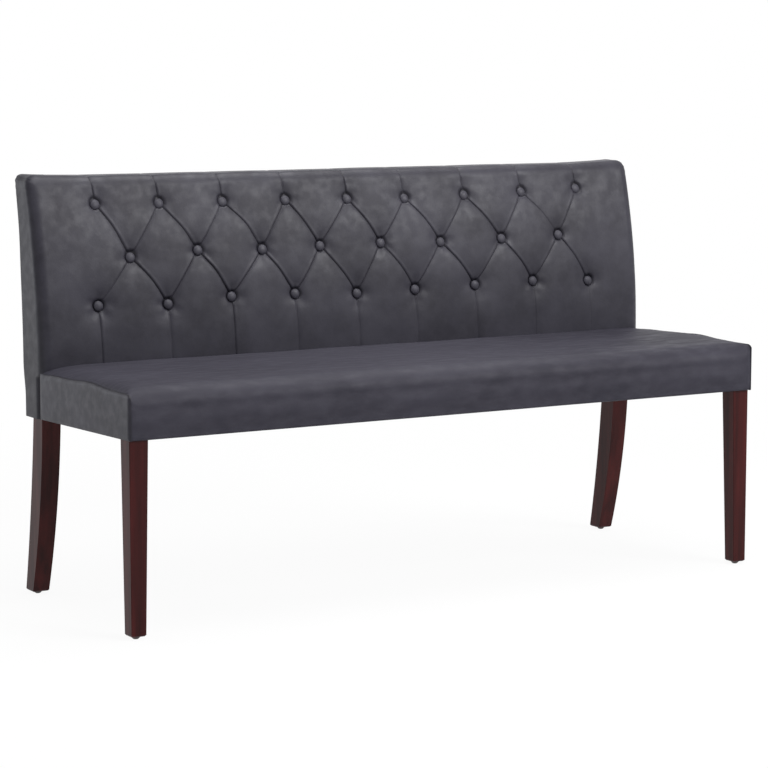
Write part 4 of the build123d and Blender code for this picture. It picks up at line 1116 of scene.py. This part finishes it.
def seen_or_mirrored(owner):
    """1 for rays from the camera and for rays that a glossy or clear surface sends on, else 0."""
    path = add_node(owner, "ShaderNodeLightPath").outputs
    mirrored = combine(owner, "MAXIMUM", path["Is Glossy Ray"], path["Is Transmission Ray"])
    return combine(owner, "MAXIMUM", path["Is Camera Ray"], mirrored)


def floor_material():
    """Pale floor that fades to white, for the camera, away from the bench."""
    material, shader = start_material("floor")
    set_sockets(material, shader, Base_Color=FLOOR_GREY, Roughness=0.9, Specular_IOR_Level=0.0)
    length = add_node(material, "ShaderNodeVectorMath", {"operation": "LENGTH"})
    plug(material, length.inputs[0], own_place(material))
    soft = {"interpolation_type": "SMOOTHSTEP"}
    fade = ranged(
        material, length.outputs["Value"], soft, From_Min=FADE_START, From_Max=FADE_END, To_Min=FLOOR_LIFT
    )
    white = add_node(material, "ShaderNodeEmission", Color=(1, 1, 1, 1), Strength=1.0)
    blend = add_node(material, "ShaderNodeMixShader")
    share = combine(material, "MULTIPLY", fade, seen_or_mirrored(material))
    for socket, value in zip(blend.inputs, (share, shader.outputs[0], white.outputs[0])):
        plug(material, socket, value)
    set_sockets(material, material.node_tree.nodes["Material Output"], Surface=blend.outputs[0])
    return material


corners = [(x * FLOOR_HALF, y * FLOOR_HALF, 0) for x, y in ((-1, -1), (1, -1), (1, 1), (-1, 1))]
floor = add_object("floor", make_mesh("floor", corners, [(0, 1, 2, 3)], floor_material()))


# %% Sky and lamps
def add_lamp(name, place, target, size, power, colour=(1.0, 1.0, 1.0)):
    """A large rectangular lamp that faces a target."""
    data = bpy.data.lights.new(name, "AREA")
    data.shape = "RECTANGLE"
    data.size, data.size_y = size
    data.energy = power
    data.color = colour
    lamp = add_object(name, data)
    lamp.location = place
    lamp.rotation_euler = (Vector(target) - Vector(place)).to_track_quat("-Z", "Y").to_euler()


BENCH_MIDDLE = (0.0, 0.0, 0.5)
add_lamp("left_lamp", (-2.9, 2.4, 1.0), (-0.75, 0.0, 0.5), (1.8, 1.8), 22, (0.88, 0.91, 1.0))
add_lamp("top_lamp", (0.3, -0.4, 3.4), BENCH_MIDDLE, (3.4, 1.4), 98)
add_lamp("front_lamp", (2.6, -4.2, 3.4), (0.0, 0.2, 0.8), (3.0, 1.8), 262)

SKY_FRONT, SKY_REAR = 0.22, 0.58
world = bpy.data.worlds.new("sky")
bpy.context.scene.world = world
world.use_nodes = True
direction = add_node(world, "ShaderNodeTexCoord").outputs["Generated"]
split = add_node(world, "ShaderNodeSeparateXYZ", Vector=direction)
sides = ranged(world, split.outputs["Y"], From_Min=-1.0, To_Min=SKY_FRONT, To_Max=SKY_REAR)
strength = add_node(world, "ShaderNodeMix", Factor=seen_or_mirrored(world), A=sides, B=1.0)
background = world.node_tree.nodes["Background"]
set_sockets(world, background, Color=(1, 1, 1, 1), Strength=strength.outputs["Result"])
bpy.context.scene.view_settings.view_transform = "Standard"
